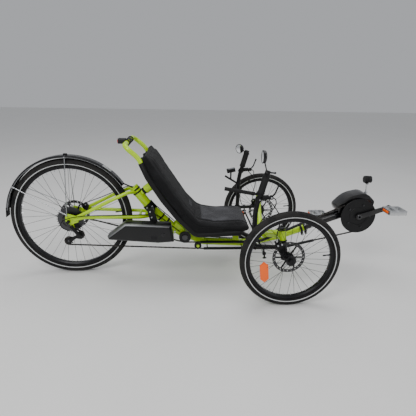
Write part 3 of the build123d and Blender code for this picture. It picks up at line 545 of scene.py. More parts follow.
def basis(axis):
    """Turns +Z to an axis."""
    return Vector(axis).to_track_quat("Z", "Y").to_matrix().to_4x4()


def turned(shape, profile, origin, axis, steps=32):
    """Spins a profile of (distance along the axis, radius) pairs into the shape."""
    to_place = Matrix.Translation(origin) @ basis(axis)
    points = [shape.verts.new(to_place @ Vector((max(radius, 1e-5), 0, along))) for along, radius in profile]
    edges = [shape.edges.new(pair) for pair in zip(points, points[1:])]
    bmesh.ops.spin(
        shape, geom=points + edges, cent=origin, axis=to_place.to_3x3() @ Z,
        dvec=(0, 0, 0), angle=2 * math.pi, steps=steps, use_merge=True,
    )
    ends = [v for v in shape.verts if v.is_valid]
    bmesh.ops.remove_doubles(shape, verts=ends, dist=4e-5)


def lathe(name, body, profile, origin, axis, material, steps=32, replaces=()):
    shape = bmesh.new()
    turned(shape, profile, origin, axis, steps)
    return piece(name, body, shape, material, replaces)


def block(shape, centre, size, turn=None, bevel=0.0, segments=2):
    """Rounded box in the shape."""
    matrix = Matrix.Translation(centre) @ (turn or Matrix.Identity(4)) @ Matrix.Diagonal((*size, 1))
    made = bmesh.ops.create_cube(shape, size=1, matrix=matrix)["verts"]
    if bevel:
        edges = list({edge for vert in made for edge in vert.link_edges})
        bmesh.ops.bevel(
            shape, geom=edges, offset=bevel, segments=segments, profile=0.5, affect="EDGES", material=-1
        )


def cap_screw(shape, at, axis, radius):
    """Socket cap screw whose head stands out of a face."""
    head = radius * 1.1
    profile = [
        (-head * 0.3, radius * 0.96), (head * 0.8, radius), (head, radius * 0.86),
        (head, radius * 0.5), (head * 0.4, radius * 0.44), (head * 0.4, 0.0),
    ]
    turned(shape, profile, at, axis, 12)


def screws(name, body, spots, radius, material):
    shape = bmesh.new()
    for at, axis in spots:
        cap_screw(shape, at, axis, radius)
    return piece(name, body, shape, material)


def pipe(name, body, points, radius, material, smooth=True, sides=5, cyclic=False, replaces=()):
    """Round section along a smooth line through given points."""
    data = bpy.data.curves.new(name, "CURVE")
    data.dimensions = "3D"
    data.bevel_depth = radius
    data.bevel_resolution = sides
    data.use_fill_caps = True
    spline = data.splines.new("NURBS")
    spline.points.add(len(points) - 1)
    for index, point in enumerate(points):
        spline.points[index].co = (*point, 1)
    spline.order_u = 3 if smooth else 2
    spline.use_endpoint_u = not cyclic
    spline.use_cyclic_u = cyclic
    spline.resolution_u = 8
    line = bpy.data.objects.new(name, data)
    bpy.context.scene.collection.objects.link(line)
    bpy.context.view_layer.update()
    mesh = bpy.data.meshes.new_from_object(line.evaluated_get(bpy.context.evaluated_depsgraph_get()))
    bpy.data.objects.remove(line)
    shape = bmesh.new()
    shape.from_mesh(mesh)
    bmesh.ops.remove_doubles(shape, verts=shape.verts, dist=1e-6)
    return piece(name, body, shape, material, replaces)


def merged_copy(node, flat=2.0):
    """The node's solid as one joined mesh, with its flat faces whole again."""
    shape = bmesh.new()
    shape.from_mesh(NODES[node].data)
    bmesh.ops.remove_doubles(shape, verts=shape.verts, dist=2e-5)
    bmesh.ops.dissolve_limit(shape, angle_limit=math.radians(flat), verts=shape.verts, edges=shape.edges)
    return shape


def softened(node, width, material, segments=2, sharp=28, name=None):
    """A node with its sharp edges rounded over."""
    shape = merged_copy(node)
    edges = [e for e in shape.edges if len(e.link_faces) == 2 and e.calc_face_angle(0) > math.radians(sharp)]
    bmesh.ops.bevel(
        shape, geom=edges, offset=width, segments=segments, profile=0.5, affect="EDGES", material=-1,
        clamp_overlap=True,
    )
    return piece(name or f"{node}_body", BODY_OF[node], shape, material, (node,))


def ring_band(name, body, at, axis, inner, outer, width, material):
    """Short rounded collar round a tube."""
    edge = min(0.0015, (outer - inner) / 2)
    half = width / 2
    profile = [
        (-half, inner), (-half, outer - edge), (-half + edge, outer), (half - edge, outer),
        (half, outer - edge), (half, inner), (-half, inner),
    ]
    return lathe(name, body, profile, at, axis, material, 40)


def shell_over(name, node, cuts, lift, wall, material):
    """Sleeve over part of a node: its skin between cutting planes, lifted and given a wall."""
    shape = bmesh.new()
    shape.from_mesh(NODES[node].data)
    bmesh.ops.remove_doubles(shape, verts=shape.verts, dist=2e-5)
    for point, outward in cuts:
        everything = list(shape.verts) + list(shape.edges) + list(shape.faces)
        bmesh.ops.bisect_plane(
            shape, geom=everything, dist=1e-6, plane_co=point, plane_no=outward, clear_outer=True
        )
    shape.normal_update()
    for vert in shape.verts:
        vert.co += vert.normal * lift
    thing = piece(name, BODY_OF[node], shape, material, keep_normals=True)
    solid = thing.modifiers.new("wall", "SOLIDIFY")
    solid.thickness = wall
    solid.offset = -1
    return thing


# ---------------------------------------------------------------- seat
PAD_LINE = [(-160, 339), (-331, 334), (-433, 348), (-499, 421), (-597, 571), (-680, 704)]
PAD_VOXEL = 0.0075
SMOOTH_PASSES = 14
CLOTH_FRAMES = 20
SIDE_SEAM = 0.128
CROSS_SEAMS = (0.30, 0.455, 0.585)
PIPING_ACROSS = 0.166
PIPING_END = 0.03


def pad_runs():
    """Runs of the pad's upper line: start, direction, upward normal, length and distance so far."""
    runs, travelled = [], 0.0
    for first, second in zip(PAD_LINE, PAD_LINE[1:]):
        start, end = place(first[0], 0, first[1]), place(second[0], 0, second[1])
        direction = (end - start).normalized()
        normal = Vector((direction.z, 0, -direction.x))
        length = (end - start).length
        runs.append((start, direction, normal, length, travelled))
        travelled += length
    return runs, travelled


def pad_distance(point):
    """How far along the upper line a point lies."""
    best, found = 1e9, 0.0
    for start, direction, _, length, travelled in pad_runs()[0]:
        along = min(max((point - start).dot(direction), 0), length)
        flat = point - start - direction * along
        flat.y = 0
        if flat.length < best:
            best, found = flat.length, travelled + along
    return found


def swollen(mesh, limit):
    """Cloth under a little air pressure, with no vertex moved further than the limit."""
    scene = bpy.context.scene
    thing = bpy.data.objects.new("pad_form", mesh)
    scene.collection.objects.link(thing)
    cloth = thing.modifiers.new("air", "CLOTH")
    cloth.settings.use_pressure = True
    cloth.settings.uniform_pressure_force = 4
    cloth.settings.effector_weights.gravity = 0
    cloth.settings.quality = 4
    cloth.point_cache.frame_start, cloth.point_cache.frame_end = 1, CLOTH_FRAMES
    for number in range(1, CLOTH_FRAMES + 1):
        scene.frame_set(number)
    blown = bpy.data.meshes.new_from_object(thing.evaluated_get(bpy.context.evaluated_depsgraph_get()))
    for vert, rest in zip(blown.vertices, mesh.vertices):
        move = vert.co - rest.co
        if move.length > limit:
            vert.co = rest.co + move * (limit / move.length)
    bpy.data.objects.remove(thing)
    scene.frame_set(1)
    return blown


def remeshed(shape, voxel):
    """The shape as one even grid of small faces."""
    mesh = bpy.data.meshes.new("pad_core")
    shape.to_mesh(mesh)
    shape.free()
    thing = bpy.data.objects.new("pad_core", mesh)
    bpy.context.scene.collection.objects.link(thing)
    cells = thing.modifiers.new("cells", "REMESH")
    cells.mode = "VOXEL"
    cells.voxel_size = voxel
    result = bpy.data.meshes.new_from_object(thing.evaluated_get(bpy.context.evaluated_depsgraph_get()))
    bpy.data.objects.remove(thing)
    return result


def pad_skin(sizes):
    """The pad's cover: remeshed, drawn in, blown out again and pulled in along its seams."""
    core = remeshed(merged_copy("seat_cushion", 0.5), PAD_VOXEL)
    shape = bmesh.new()
    shape.from_mesh(core)
    for _ in range(SMOOTH_PASSES):
        bmesh.ops.smooth_vert(
            shape, verts=shape.verts, factor=0.5, use_axis_x=True, use_axis_y=True, use_axis_z=True
        )
    shape.normal_update()
    for vert in shape.verts:
        vert.co -= vert.normal * 0.001
    shape.to_mesh(core)
    shape.free()
    blown = swollen(core, sizes.seat_swell)
    shape = bmesh.new()
    shape.from_mesh(blown)
    shape.normal_update()
    low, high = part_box("seat_cushion")
    for vert in shape.verts:
        distance = pad_distance(vert.co)
        across = abs(vert.co.y)
        pull = math.exp(-(((across - SIDE_SEAM) / 0.005) ** 2)) * (1 if distance > 0.05 else distance / 0.05)
        for seam in CROSS_SEAMS:
            inside = 1 if across < SIDE_SEAM else 0.25
            pull = max(pull, math.exp(-(((distance - seam) / 0.006) ** 2)) * inside)
        crown = math.cos(min(1, across / SIDE_SEAM) * math.pi / 2) * 0.0022
        ripple = noise.noise(vert.co * 16) * 0.0012
        vert.co -= vert.normal * (pull * sizes.seam_depth - crown - ripple)
        vert.co.y = min(max(vert.co.y, low.y - 0.006), high.y + 0.006)
    return shape


def on_pad(tree, distance, across):
    """Point on the pad's upper skin at a distance along it and a distance across."""
    for start, direction, normal, length, travelled in pad_runs()[0]:
        if distance <= travelled + length or start.z > place(0, 0, 570).z:
            base = start + direction * (distance - travelled)
            origin = Vector((base.x, across, base.z)) + normal * -0.09
            hit, _, _, _ = tree.ray_cast(origin, normal)
            if hit is None:
                hit, _, _, _ = tree.ray_cast(origin + normal * 0.18, -normal)
            return hit if hit is not None else Vector((base.x, across, base.z))
    return Vector((base.x, across, base.z))


def build_seat(sizes):
    """The swollen pad, its grey panels and the piping sewn round its edge."""
    shape = pad_skin(sizes)
    tree = BVHTree.FromBMesh(shape)
    skin = seat_mesh()
    patch = shape.copy()
    body = BODY_OF["seat_cushion"]
    pad = piece("seat_pad", body, shape, skin, ("seat_cushion",), sharp=180)
    finer = pad.modifiers.new("finer", "SUBSURF")
    finer.levels = finer.render_levels = 1
    grey = seat_mesh("seat_panel_mesh", (0.032, 0.032, 0.035), 0.0016)
    outside = []
    for face in patch.faces:
        at = face.calc_center_median()
        distance = pad_distance(at)
        middle_panel = 0.012 < distance < 0.255 and abs(at.y) < 0.118
        top_patch = 0.325 < distance < 0.355 and abs(at.y) < 0.05
        if face.normal.z < 0.35 or not (middle_panel or top_patch):
            outside.append(face)
    bmesh.ops.delete(patch, geom=outside, context="FACES")
    for vert in patch.verts:
        vert.co += vert.normal * 0.0012
    panel = piece("seat_panels", body, patch, grey, sharp=180, keep_normals=True)
    wall = panel.modifiers.new("wall", "SOLIDIFY")
    wall.thickness = 0.0012
    piping = webbing("piping_cord", (0.012, 0.012, 0.013))
    total = pad_runs()[1]
    run = total - 2 * PIPING_END
    for name, across in (("right", -PIPING_ACROSS), ("left", PIPING_ACROSS)):
        line = [on_pad(tree, PIPING_END + run * step / 30, across) for step in range(31)]
        pipe(f"seat_piping_{name}", body, line, sizes.piping, piping)
    for name, distance in (("front", PIPING_END), ("top", total - PIPING_END)):
        line = [on_pad(tree, distance, PIPING_ACROSS * (step / 6 - 1)) for step in range(13)]
        pipe(f"seat_piping_{name}", body, line, sizes.piping, piping)


def build_seat_fittings():
    """Black skins painted as shade over the green seat rails, lacing straps behind the pad with their
    buckles, the side skirt and the hoop's rings.
    """
    body = BODY_OF["seat_frame"]
    # The black skins made with this finish over the outer seat rails are painted shade: the green rails lie
    # in shade under the seat.
    black = satin_black("rail_painted_shade", 0.006, 0.55)
    rubber = soft_rubber()
    strap = webbing()
    back = (place(-598, 0, 479) - place(-711, 0, 689)).normalized()
    for name, side in (("right", -1), ("left", 1)):
        cuts = [(place(0, side * 152, 0), Y * -side), (place(-722, 0, 655), -back)]
        shell_over(f"rail_shade_skin_{name}", "seat_frame", cuts, 0.0024, 0.0022, black)
    shape = bmesh.new()
    buckles = bmesh.new()
    turn = Matrix.Rotation(math.radians(-34), 4, "Y")
    for x, z in ((-706, 652), (-672, 574), (-588, 444), (-556, 402)):
        block(shape, place(x - 6, 0, z), (0.0022, 0.312, 0.026), turn, 0.0008, 1)
        for side in (-1, 1):
            block(buckles, place(x - 9, side * 62, z), (0.008, 0.036, 0.032), turn, 0.0025, 2)
    piece("seat_lacing", body, shape, strap)
    skirt = bmesh.new()
    outline = [
        (-300, 322), (-424, 330), (-440, 338), (-470, 364), (-500, 398),
        (-520, 382), (-482, 340), (-440, 300), (-420, 288), (-300, 293),
    ]
    for side in (-1, 1):
        face = skirt.faces.new([skirt.verts.new(place(x, side * 177.5, z)) for x, z in outline])
        raised = bmesh.ops.extrude_face_region(skirt, geom=[face])["geom"]
        moved = [vert for vert in raised if isinstance(vert, bmesh.types.BMVert)]
        bmesh.ops.translate(skirt, vec=(0, side * -0.002, 0), verts=moved)
    piece("seat_skirt", body, skirt, seat_mesh())
    piece("seat_buckles", body, buckles, moulded_black())
    hoop = place(-790, 0, 742)
    for index, across in enumerate((-62, 62)):
        at = Vector((hoop.x, across / 1000, hoop.z))
        ring_band(f"hoop_ring_{index}", body, at, Y, 0.0121, 0.0165, 0.018, rubber)


# ---------------------------------------------------------------- wheels
def wheel_point(centre, radius, angle, across=0.0):
    return centre + Vector((math.cos(angle) * radius, across, math.sin(angle) * radius))


def build_wheel(name, hub_node, body, outer, bead, count, colours, disc_side):
    """Tyre, rim, spoke and hub finishes with nipples, valve and bead line."""
    is_rear = name == "rear"
    parts = ("tyre", "rim", "spokes")
    tyre, rim, spokes = (f"rear_{part}" if is_rear else f"front_{part}_{name}" for part in parts)
    centre = middle(tyre)
    stripe_radius = outer - (0.029 if is_rear else 0.0255)
    dress(tyre, tyre_rubber(f"tyre_{name}", centre, outer, stripe_radius, tuple(colours.stripe)))
    dress(rim, rim_black(f"rim_{name}", centre))
    dress(spokes, machined_alloy(f"spokes_{name}", (0.045, 0.045, 0.048), 0.34))
    dress(hub_node, hub_and_disc(f"hub_{name}", centre, disc_side))
    steel = machined_alloy(f"nipple_alloy_{name}", (0.66, 0.67, 0.69), 0.28)
    shape = bmesh.new()
    for index in range(count):
        angle = 2 * math.pi * (index + 0.5) / count
        across = 0.0014 if index % 2 else -0.0014
        at = wheel_point(centre, bead - 0.0105, angle, across)
        inward = wheel_point(centre, 0, angle, across * 6) - at
        turned(shape, [(0, 0.0019), (0.004, 0.0019), (0.0115, 0.0012), (0.0115, 0)], at, inward, 6)
    piece(f"nipples_{name}", body, shape, steel)
    valve = bmesh.new()
    at = wheel_point(centre, bead - 0.01, 0.12)
    inward = centre - at
    profile = [
        (0, 0.0042), (0.004, 0.0042), (0.0045, 0.003), (0.022, 0.003),
        (0.0225, 0.0037), (0.035, 0.0034), (0.036, 0),
    ]
    turned(valve, profile, at, inward, 12)
    piece(f"valve_{name}", body, valve, moulded_black())
    beads = bmesh.new()
    for side in (-1, 1):
        start = centre + Y * side * 0.0003
        half = 0.0178 if is_rear else 0.0162
        profile = [(half, bead + 0.0052), (half + 0.0011, bead + 0.0061), (half, bead + 0.0072)]
        turned(beads, [*profile, profile[0]], start, Y * side, 96)
    piece(f"bead_lines_{name}", body, beads, soft_rubber())


def spoke_reflector(name, body, centre, angle, radius, across, lean, colour):
    """Long six-sided reflector clipped between two spokes."""
    outline = [
        (-0.054, 0), (-0.036, 0.0205), (0.036, 0.0205),
        (0.054, 0), (0.036, -0.0205), (-0.036, -0.0205),
    ]
    shape = bmesh.new()
    at = wheel_point(centre, radius, angle, across)
    along = Vector((math.cos(lean), 0, math.sin(lean)))
    outward = Vector((-along.z, 0, along.x))
    corners = [shape.verts.new(at + along * u + outward * v) for u, v in outline]
    face = shape.faces.new(corners)
    raised = bmesh.ops.extrude_face_region(shape, geom=[face])["geom"]
    moved = [vert for vert in raised if isinstance(vert, bmesh.types.BMVert)]
    bmesh.ops.translate(shape, vec=(0, 0.009, 0), verts=moved)
    bmesh.ops.bevel(
        shape, geom=list(shape.edges), offset=0.0018, segments=2, profile=0.5, affect="EDGES", material=-1
    )
    piece(name, body, shape, reflector_plastic(colour))


FRONT_BEAD = 0.203
REAR_BEAD = 0.281
REAR_SPOKES = 36


def build_wheels(colours, sizes):
    """Both front wheels with their caps and reflectors, and the rear one."""
    outer = FRONT_AXLE.z
    for name, side in (("right", -1), ("left", 1)):
        body = BODY_OF[f"front_tyre_{name}"]
        build_wheel(name, f"front_hub_{name}", body, outer, FRONT_BEAD, sizes.rim_holes, colours, -side)
        centre = middle(f"front_tyre_{name}")
        cap = centre + Y * side * 0.0242
        profile = [
            (0, 0.0112), (0.004, 0.0135), (0.0105, 0.0125), (0.0118, 0.009),
            (0.0118, 0.0045), (0.0085, 0.004), (0.0085, 0),
        ]
        lathe(
            f"axle_cap_{name}", BODY_OF[f"knuckle_{name}"], profile, cap, Y * side,
            satin_black(f"axle_cap_{name}"), 24,
        )
        ring_band(
            f"hub_ring_{name}", body, centre + Y * side * 0.0155, Y, 0.0168, 0.0188, 0.003,
            machined_alloy(f"hub_ring_{name}"),
        )
        spoke_reflector(
            f"spoke_reflector_{name}", body, centre, math.radians(207.8), 0.137, side * 0.004 - 0.0045,
            math.radians(95.5), tuple(colours.reflector),
        )
    build_wheel("rear", "rear_hub", BODY_OF["rear_tyre"], REAR_AXLE.z, REAR_BEAD, REAR_SPOKES, colours, 1)


# ---------------------------------------------------------------- drive
# Centres are (forward, up) in millimetres from the ground under the front axle.
PIVOT = (-500, 225)
REAR = (-1114, 325)
CRANK = (460, 348)
GUIDE = (-1066, 243)
TENSION = (-1128, 208)
KEEPER = (-428, 156.0)
CHAIN_LINE = -55
HALF_INCH = 12.7
CHAINRING_TEETH = 44
IDLER_TEETH = 15
GEAR_TEETH = 18
PULLEY_TEETH = 11
UPPER_BEND = 160
LOWER_BEND = 300
CASSETTE = (36, 32, 28, 24, 21, 18, 15, 12)


def pitch_circle(teeth):
    """Radius of a chain's path round a sprocket, in millimetres."""
    return teeth * HALF_INCH / (2 * math.pi)


def between(first, second, share):
    """Point a share of the way from one flat point to another."""
    return first[0] + (second[0] - first[0]) * share, first[1] + (second[1] - first[1]) * share


def tangent(first, second):
    """Ends of the straight run between two circles, each (centre, radius, sense)."""
    (c1, r1, s1), (c2, r2, s2) = first, second
    run_x, run_z = c2[0] - c1[0], c2[1] - c1[1]
    heading = math.atan2(run_z, run_x) - math.asin((s2 * r2 - s1 * r1) / math.hypot(run_x, run_z))
    normal = (-math.sin(heading), math.cos(heading))
    start = (c1[0] - s1 * r1 * normal[0], c1[1] - s1 * r1 * normal[1])
    end = (c2[0] - s2 * r2 * normal[0], c2[1] - s2 * r2 * normal[1])
    return start, end


def chain_route(circles, step=2.0):
    """Points a short step apart along a chain that passes round the circles in turn."""
    runs = [tangent(a, b) for a, b in zip(circles, circles[1:])]
    points = []
    for index, (start, end) in enumerate(runs):
        length = math.dist(start, end)
        pieces = max(1, round(length / step))
        points += [between(start, end, k / pieces) for k in range(pieces)]
        if index + 1 < len(runs):
            (centre, radius, sense), leave = circles[index + 1], runs[index + 1][0]
            a = math.atan2(end[1] - centre[1], end[0] - centre[0])
            b = math.atan2(leave[1] - centre[1], leave[0] - centre[0])
            turn = (b - a) % (2 * math.pi) if sense > 0 else -((a - b) % (2 * math.pi))
            pieces = max(1, round(abs(turn) * radius / step))
            angles = [a + turn * k / pieces for k in range(pieces)]
            points += [(centre[0] + radius * math.cos(t), centre[1] + radius * math.sin(t)) for t in angles]
    return points


def every(points, spacing):
    """Points at an even spacing along a route."""
    result, carried = [points[0]], 0.0
    for first, second in zip(points, points[1:]):
        length = math.dist(first, second)
        while carried + length >= spacing:
            first = between(first, second, (spacing - carried) / length)
            result.append(first)
            length = math.dist(first, second)
            carried = 0.0
        carried += length
    return result


def chain_piece(name, body, rollers, replaces=()):
    """Plates and rollers, inner and outer links by turns."""
    shape = bmesh.new()
    for index, (first, second) in enumerate(zip(rollers, rollers[1:])):
        start, end = place(first[0], CHAIN_LINE, first[1]), place(second[0], CHAIN_LINE, second[1])
        run = end - start
        turn = Matrix.Rotation(-math.atan2(run.z, run.x), 4, "Y")
        offset = 0.0026 if index % 2 else 0.0018
        for side in (-1, 1):
            matrix = Matrix.Translation((start + end) / 2 + Y * side * offset) @ turn
            flat = Matrix.Rotation(math.pi / 2, 4, "X") @ Matrix.Diagonal((1.55, 0.62, 1, 1))
            bmesh.ops.create_cone(
                shape, cap_ends=True, segments=8, radius1=0.0058, radius2=0.0058, depth=0.0009,
                matrix=matrix @ flat,
            )
        bmesh.ops.create_cone(
            shape, cap_ends=True, segments=8, radius1=0.0037, radius2=0.0037, depth=0.006,
            matrix=Matrix.Translation(start) @ Matrix.Rotation(math.pi / 2, 4, "X"),
        )
    return piece(name, body, shape, chain_steel(), replaces)


def toothed(name, body, centre, teeth, thickness, material):
    """Ring of sprocket teeth on a disc's rim."""
    shape = bmesh.new()
    root = pitch_circle(teeth) / 1000 - 0.0052
    for index in range(teeth):
        angle = 2 * math.pi * index / teeth
        matrix = (
            Matrix.Translation(wheel_point(centre, root + 0.0038, angle))
            @ Matrix.Rotation(-angle, 4, "Y")
            @ Matrix.Diagonal((0.0076, thickness, 0.0062, 1))
        )
        tooth = bmesh.ops.create_cube(shape, size=1, matrix=matrix)["verts"]
        tips = [v for v in tooth if (v.co - centre).length > root + 0.005]
        around = Matrix.Translation(-wheel_point(centre, root + 0.0076, angle))
        bmesh.ops.scale(shape, vec=(0.55, 0.5, 0.55), space=around, verts=tips)
    piece(name, body, shape, material)


def build_drive(sizes):
    """The chain in its three runs, every sprocket's teeth, the pulleys' caps and the crank's bolts."""
    steel = machined_alloy("sprocket_steel", (0.085, 0.085, 0.09), 0.36)
    black = satin_black("drive_black")
    plastic = moulded_black()
    idler, pulley = pitch_circle(IDLER_TEETH), pitch_circle(PULLEY_TEETH)
    upper = ((-120, PIVOT[1] - idler + UPPER_BEND), UPPER_BEND, 1)
    lower = ((0, KEEPER[1] + LOWER_BEND), LOWER_BEND, -1)
    idler_bottom = (PIVOT[0] + 8, PIVOT[1] - idler)
    front = [(idler_bottom, 0, 1), upper, (CRANK, pitch_circle(CHAINRING_TEETH), -1), lower, (KEEPER, 0, 1)]
    rear = [
        (idler_bottom, 0, 1), (PIVOT, idler, -1), (REAR, pitch_circle(GEAR_TEETH), 1),
        (GUIDE, pulley, -1), (TENSION, pulley, 1), (KEEPER, 0, 1),
    ]
    pitch = sizes.chain_pitch * 1000
    links = chain_piece("chain_links_front", None, every(chain_route(front), pitch), ("chain_front",))
    place(-380, 0, 200)
    place(350, 0, 200)
    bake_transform(links)
    rollers = every(chain_route(rear), pitch)
    between_pulleys = (GUIDE[0] - 20, GUIDE[1] - 20)
    lowest = min(range(len(rollers)), key=lambda index: math.dist(rollers[index], between_pulleys))
    chain_piece("chain_links_rear", BODY_OF["chain_rear"], rollers[: lowest + 1], ("chain_rear",))
    links = chain_piece("chain_links_return", None, rollers[lowest:])
    cage, stay = BODY_OF["derailleur_cage"], BODY_OF["chain_rear"]
    place(-1096, 0, 200)
    place(-430, 0, 200)
    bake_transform(links)
    for index, teeth in enumerate(CASSETTE):
        centre = place(REAR[0], -34 - 4.2 * index, REAR[1])
        toothed(f"cassette_teeth_{teeth}", BODY_OF["cassette"], centre, teeth, 0.0016, steel)
    for name, node, hub, teeth, thickness, material, slot_name in (
        ("chainring_teeth", "chainring", CRANK, CHAINRING_TEETH, 0.0024, black, "black_metal"),
        ("idler_teeth", "idler_pulley", PIVOT, IDLER_TEETH, 0.003, plastic, "black_plastic"),
    ):
        toothed(name, BODY_OF[node], place(hub[0], CHAIN_LINE, hub[1]), teeth, thickness, material)
    for node, hub in (("guide_pulley", GUIDE), ("tension_pulley", TENSION)):
        centre = place(hub[0], CHAIN_LINE, hub[1])
        toothed(f"{node}_teeth", BODY_OF[node], centre, PULLEY_TEETH, 0.0024, plastic)
        lathe(
            f"{node}_cap", cage, [(0, 0.0058), (0.0015, 0.0058), (0.0024, 0.0045), (0.0024, 0)],
            place(hub[0], CHAIN_LINE - 8.1, hub[1]), -Y, steel, 16,
        )
    profile = [
        (-0.001, 0.0125), (0.0015, 0.0125), (0.0028, 0.011),
        (0.0028, 0.0062), (-0.001, 0.0058), (-0.001, 0),
    ]
    axle = place(CRANK[0], -79, CRANK[1])
    lathe("crank_bolt", BODY_OF["crank_right"], profile, axle, -Y, steel, 24)
    ring = BODY_OF["chainring"]
    bolt_circle = place(CRANK[0], -63.4, CRANK[1])
    spots = [(wheel_point(bolt_circle, 0.066, 2 * math.pi * index / 5), -Y) for index in range(5)]
    screws("chainring_bolts", ring, spots, 0.005, steel)
    for name, across, inner, outer in (
        ("guard_rim", -61.7, 0.0945, 0.0983),
        ("guard_inner", -62.4, 0.050, 0.0525),
    ):
        at = place(CRANK[0], across, CRANK[1])
        ring_band(name, ring, at, Y, inner, outer, 0.0052, black)
    lock = place(REAR[0], -64.6, REAR[1])
    profile = [(0, 0.0178), (0.0014, 0.0178), (0.0014, 0.0125), (0.0006, 0.012), (0.0006, 0.009)]
    lathe("cassette_lock_ring", BODY_OF["cassette"], profile, lock, -Y, steel, 24)


def build_cranks(colours):
    """Rounded cranks and pedals, with the pedals' pins and reflectors."""
    arm = gloss_black()
    amber = tuple(colours.reflector)
    for name in ("right", "left"):
        softened(f"crank_{name}", 0.0022, arm, 3)
        body = BODY_OF[f"pedal_{name}"]
        alloy = machined_alloy(f"pedal_alloy_{name}", (0.6, 0.61, 0.62), 0.34)
        softened(f"pedal_{name}", 0.0012, alloy, 2)
        low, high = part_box(f"pedal_{name}")
        centre = (low + high) / 2
        half = (high - low) / 2
        pins = bmesh.new()
        for side in (-1, 1):
            for x in (-0.86, 0.0, 0.86):
                for y in (-0.88, -0.44, 0.44, 0.88):
                    if x or abs(y) > 0.5:
                        at = centre + Vector((half.x * x, half.y * y, side * 0.0108))
                        turned(pins, [(0, 0.0021), (0.0028, 0.0019), (0.0032, 0)], at, Z * side, 6)
        piece(f"pedal_pins_{name}", body, pins, machined_alloy(f"pin_steel_{name}"))
        lenses = bmesh.new()
        for side in (-1, 1):
            at = centre + X * side * (half.x + 0.0006)
            block(lenses, at, (0.0042, half.y * 1.15, 0.0125), None, 0.0014, 2)
        piece(f"pedal_reflectors_{name}", body, lenses, reflector_plastic(amber))


def build_motor():
    """Drive unit with its two round caps, their screws and its mounting lugs."""
    softened("motor_housing", 0.008, gloss_black(), 4, 40)
    plastic = moulded_black()
    body = BODY_OF["motor_housing"]
    axis = place(CRANK[0], 52, CRANK[1] + 24)
    profile = [
        (-0.002, 0.056), (0.003, 0.056), (0.006, 0.052),
        (0.0065, 0.03), (0.0045, 0.027), (0.0045, 0.0125),
    ]
    lathe("motor_side_cap", body, profile, axis, Y, plastic, 48)
    profile = [(-0.001, 0.046), (0.0025, 0.046), (0.0045, 0.042), (0.0045, 0.0125)]
    lathe("motor_drive_cap", body, profile, place(CRANK[0], -44, CRANK[1]), -Y, plastic, 48)
    steel = machined_alloy("motor_screw_steel")
    spots = [(wheel_point(axis + Y * 0.0062, 0.044, math.radians(60 * index + 12)), Y) for index in range(6)]
    screws("motor_screws", body, spots, 0.0034, steel)
    shape = bmesh.new()
    lean = Matrix.Rotation(0.6, 4, "Y")
    for side in (-1, 1):
        block(shape, place(368, 4 + side * 30, 392), (0.03, 0.007, 0.02), lean, 0.002, 2)
    piece("motor_mount_lugs", body, shape, steel)
    spots = [(place(368, 4 + side * 34.5, 392), Y * side) for side in (-1, 1)]
    screws("motor_mount_screws", body, spots, 0.005, steel)


# ---------------------------------------------------------------- lights, battery, controls
def build_lights():
    """Headlight with its lens, bezel and fins, and the rear light with its lens."""
    plastic = moulded_black()
    softened("headlight", 0.003, plastic, 3, 35)
    low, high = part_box("headlight")
    front = Vector((high.x, 0, high.z - 0.019))
    lathe("headlight_lens", BODY_OF["headlight"],
          [(-0.001, 0.0172), (0.0006, 0.0172), (0.0024, 0.0146), (0.0034, 0.008), (0.0036, 0)],
          front, X, clear_lens("headlight_glass", (0.75, 0.78, 0.8), 0.15), 32)
    ring_band("headlight_bezel", BODY_OF["headlight"], front - X * 0.0005, X, 0.0168, 0.0194, 0.004,
              machined_alloy("bezel_alloy"))
    fins = bmesh.new()
    for index in range(4):
        ring = front - X * (0.016 + 0.005 * index)
        turned(fins, [(-0.0009, 0.0188), (-0.0009, 0.0202), (0.0009, 0.0202), (0.0009, 0.0188)], ring, X, 32)
    piece("headlight_fins", BODY_OF["headlight"], fins, plastic)
    softened("rear_light", 0.002, plastic, 2, 35)
    low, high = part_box("rear_light")
    shape = bmesh.new()
    block(shape, Vector((low.x - 0.0004, 0, (low.z + high.z) / 2)), (0.006, 0.034, 0.017), None, 0.0024, 3)
    red = clear_lens("red_lens", (0.5, 0.01, 0.008), 0.12)
    piece("rear_light_lens", BODY_OF["rear_light"], shape, red)
    dress("headlight_post", machined_alloy("post_alloy", (0.7, 0.71, 0.73), 0.22))


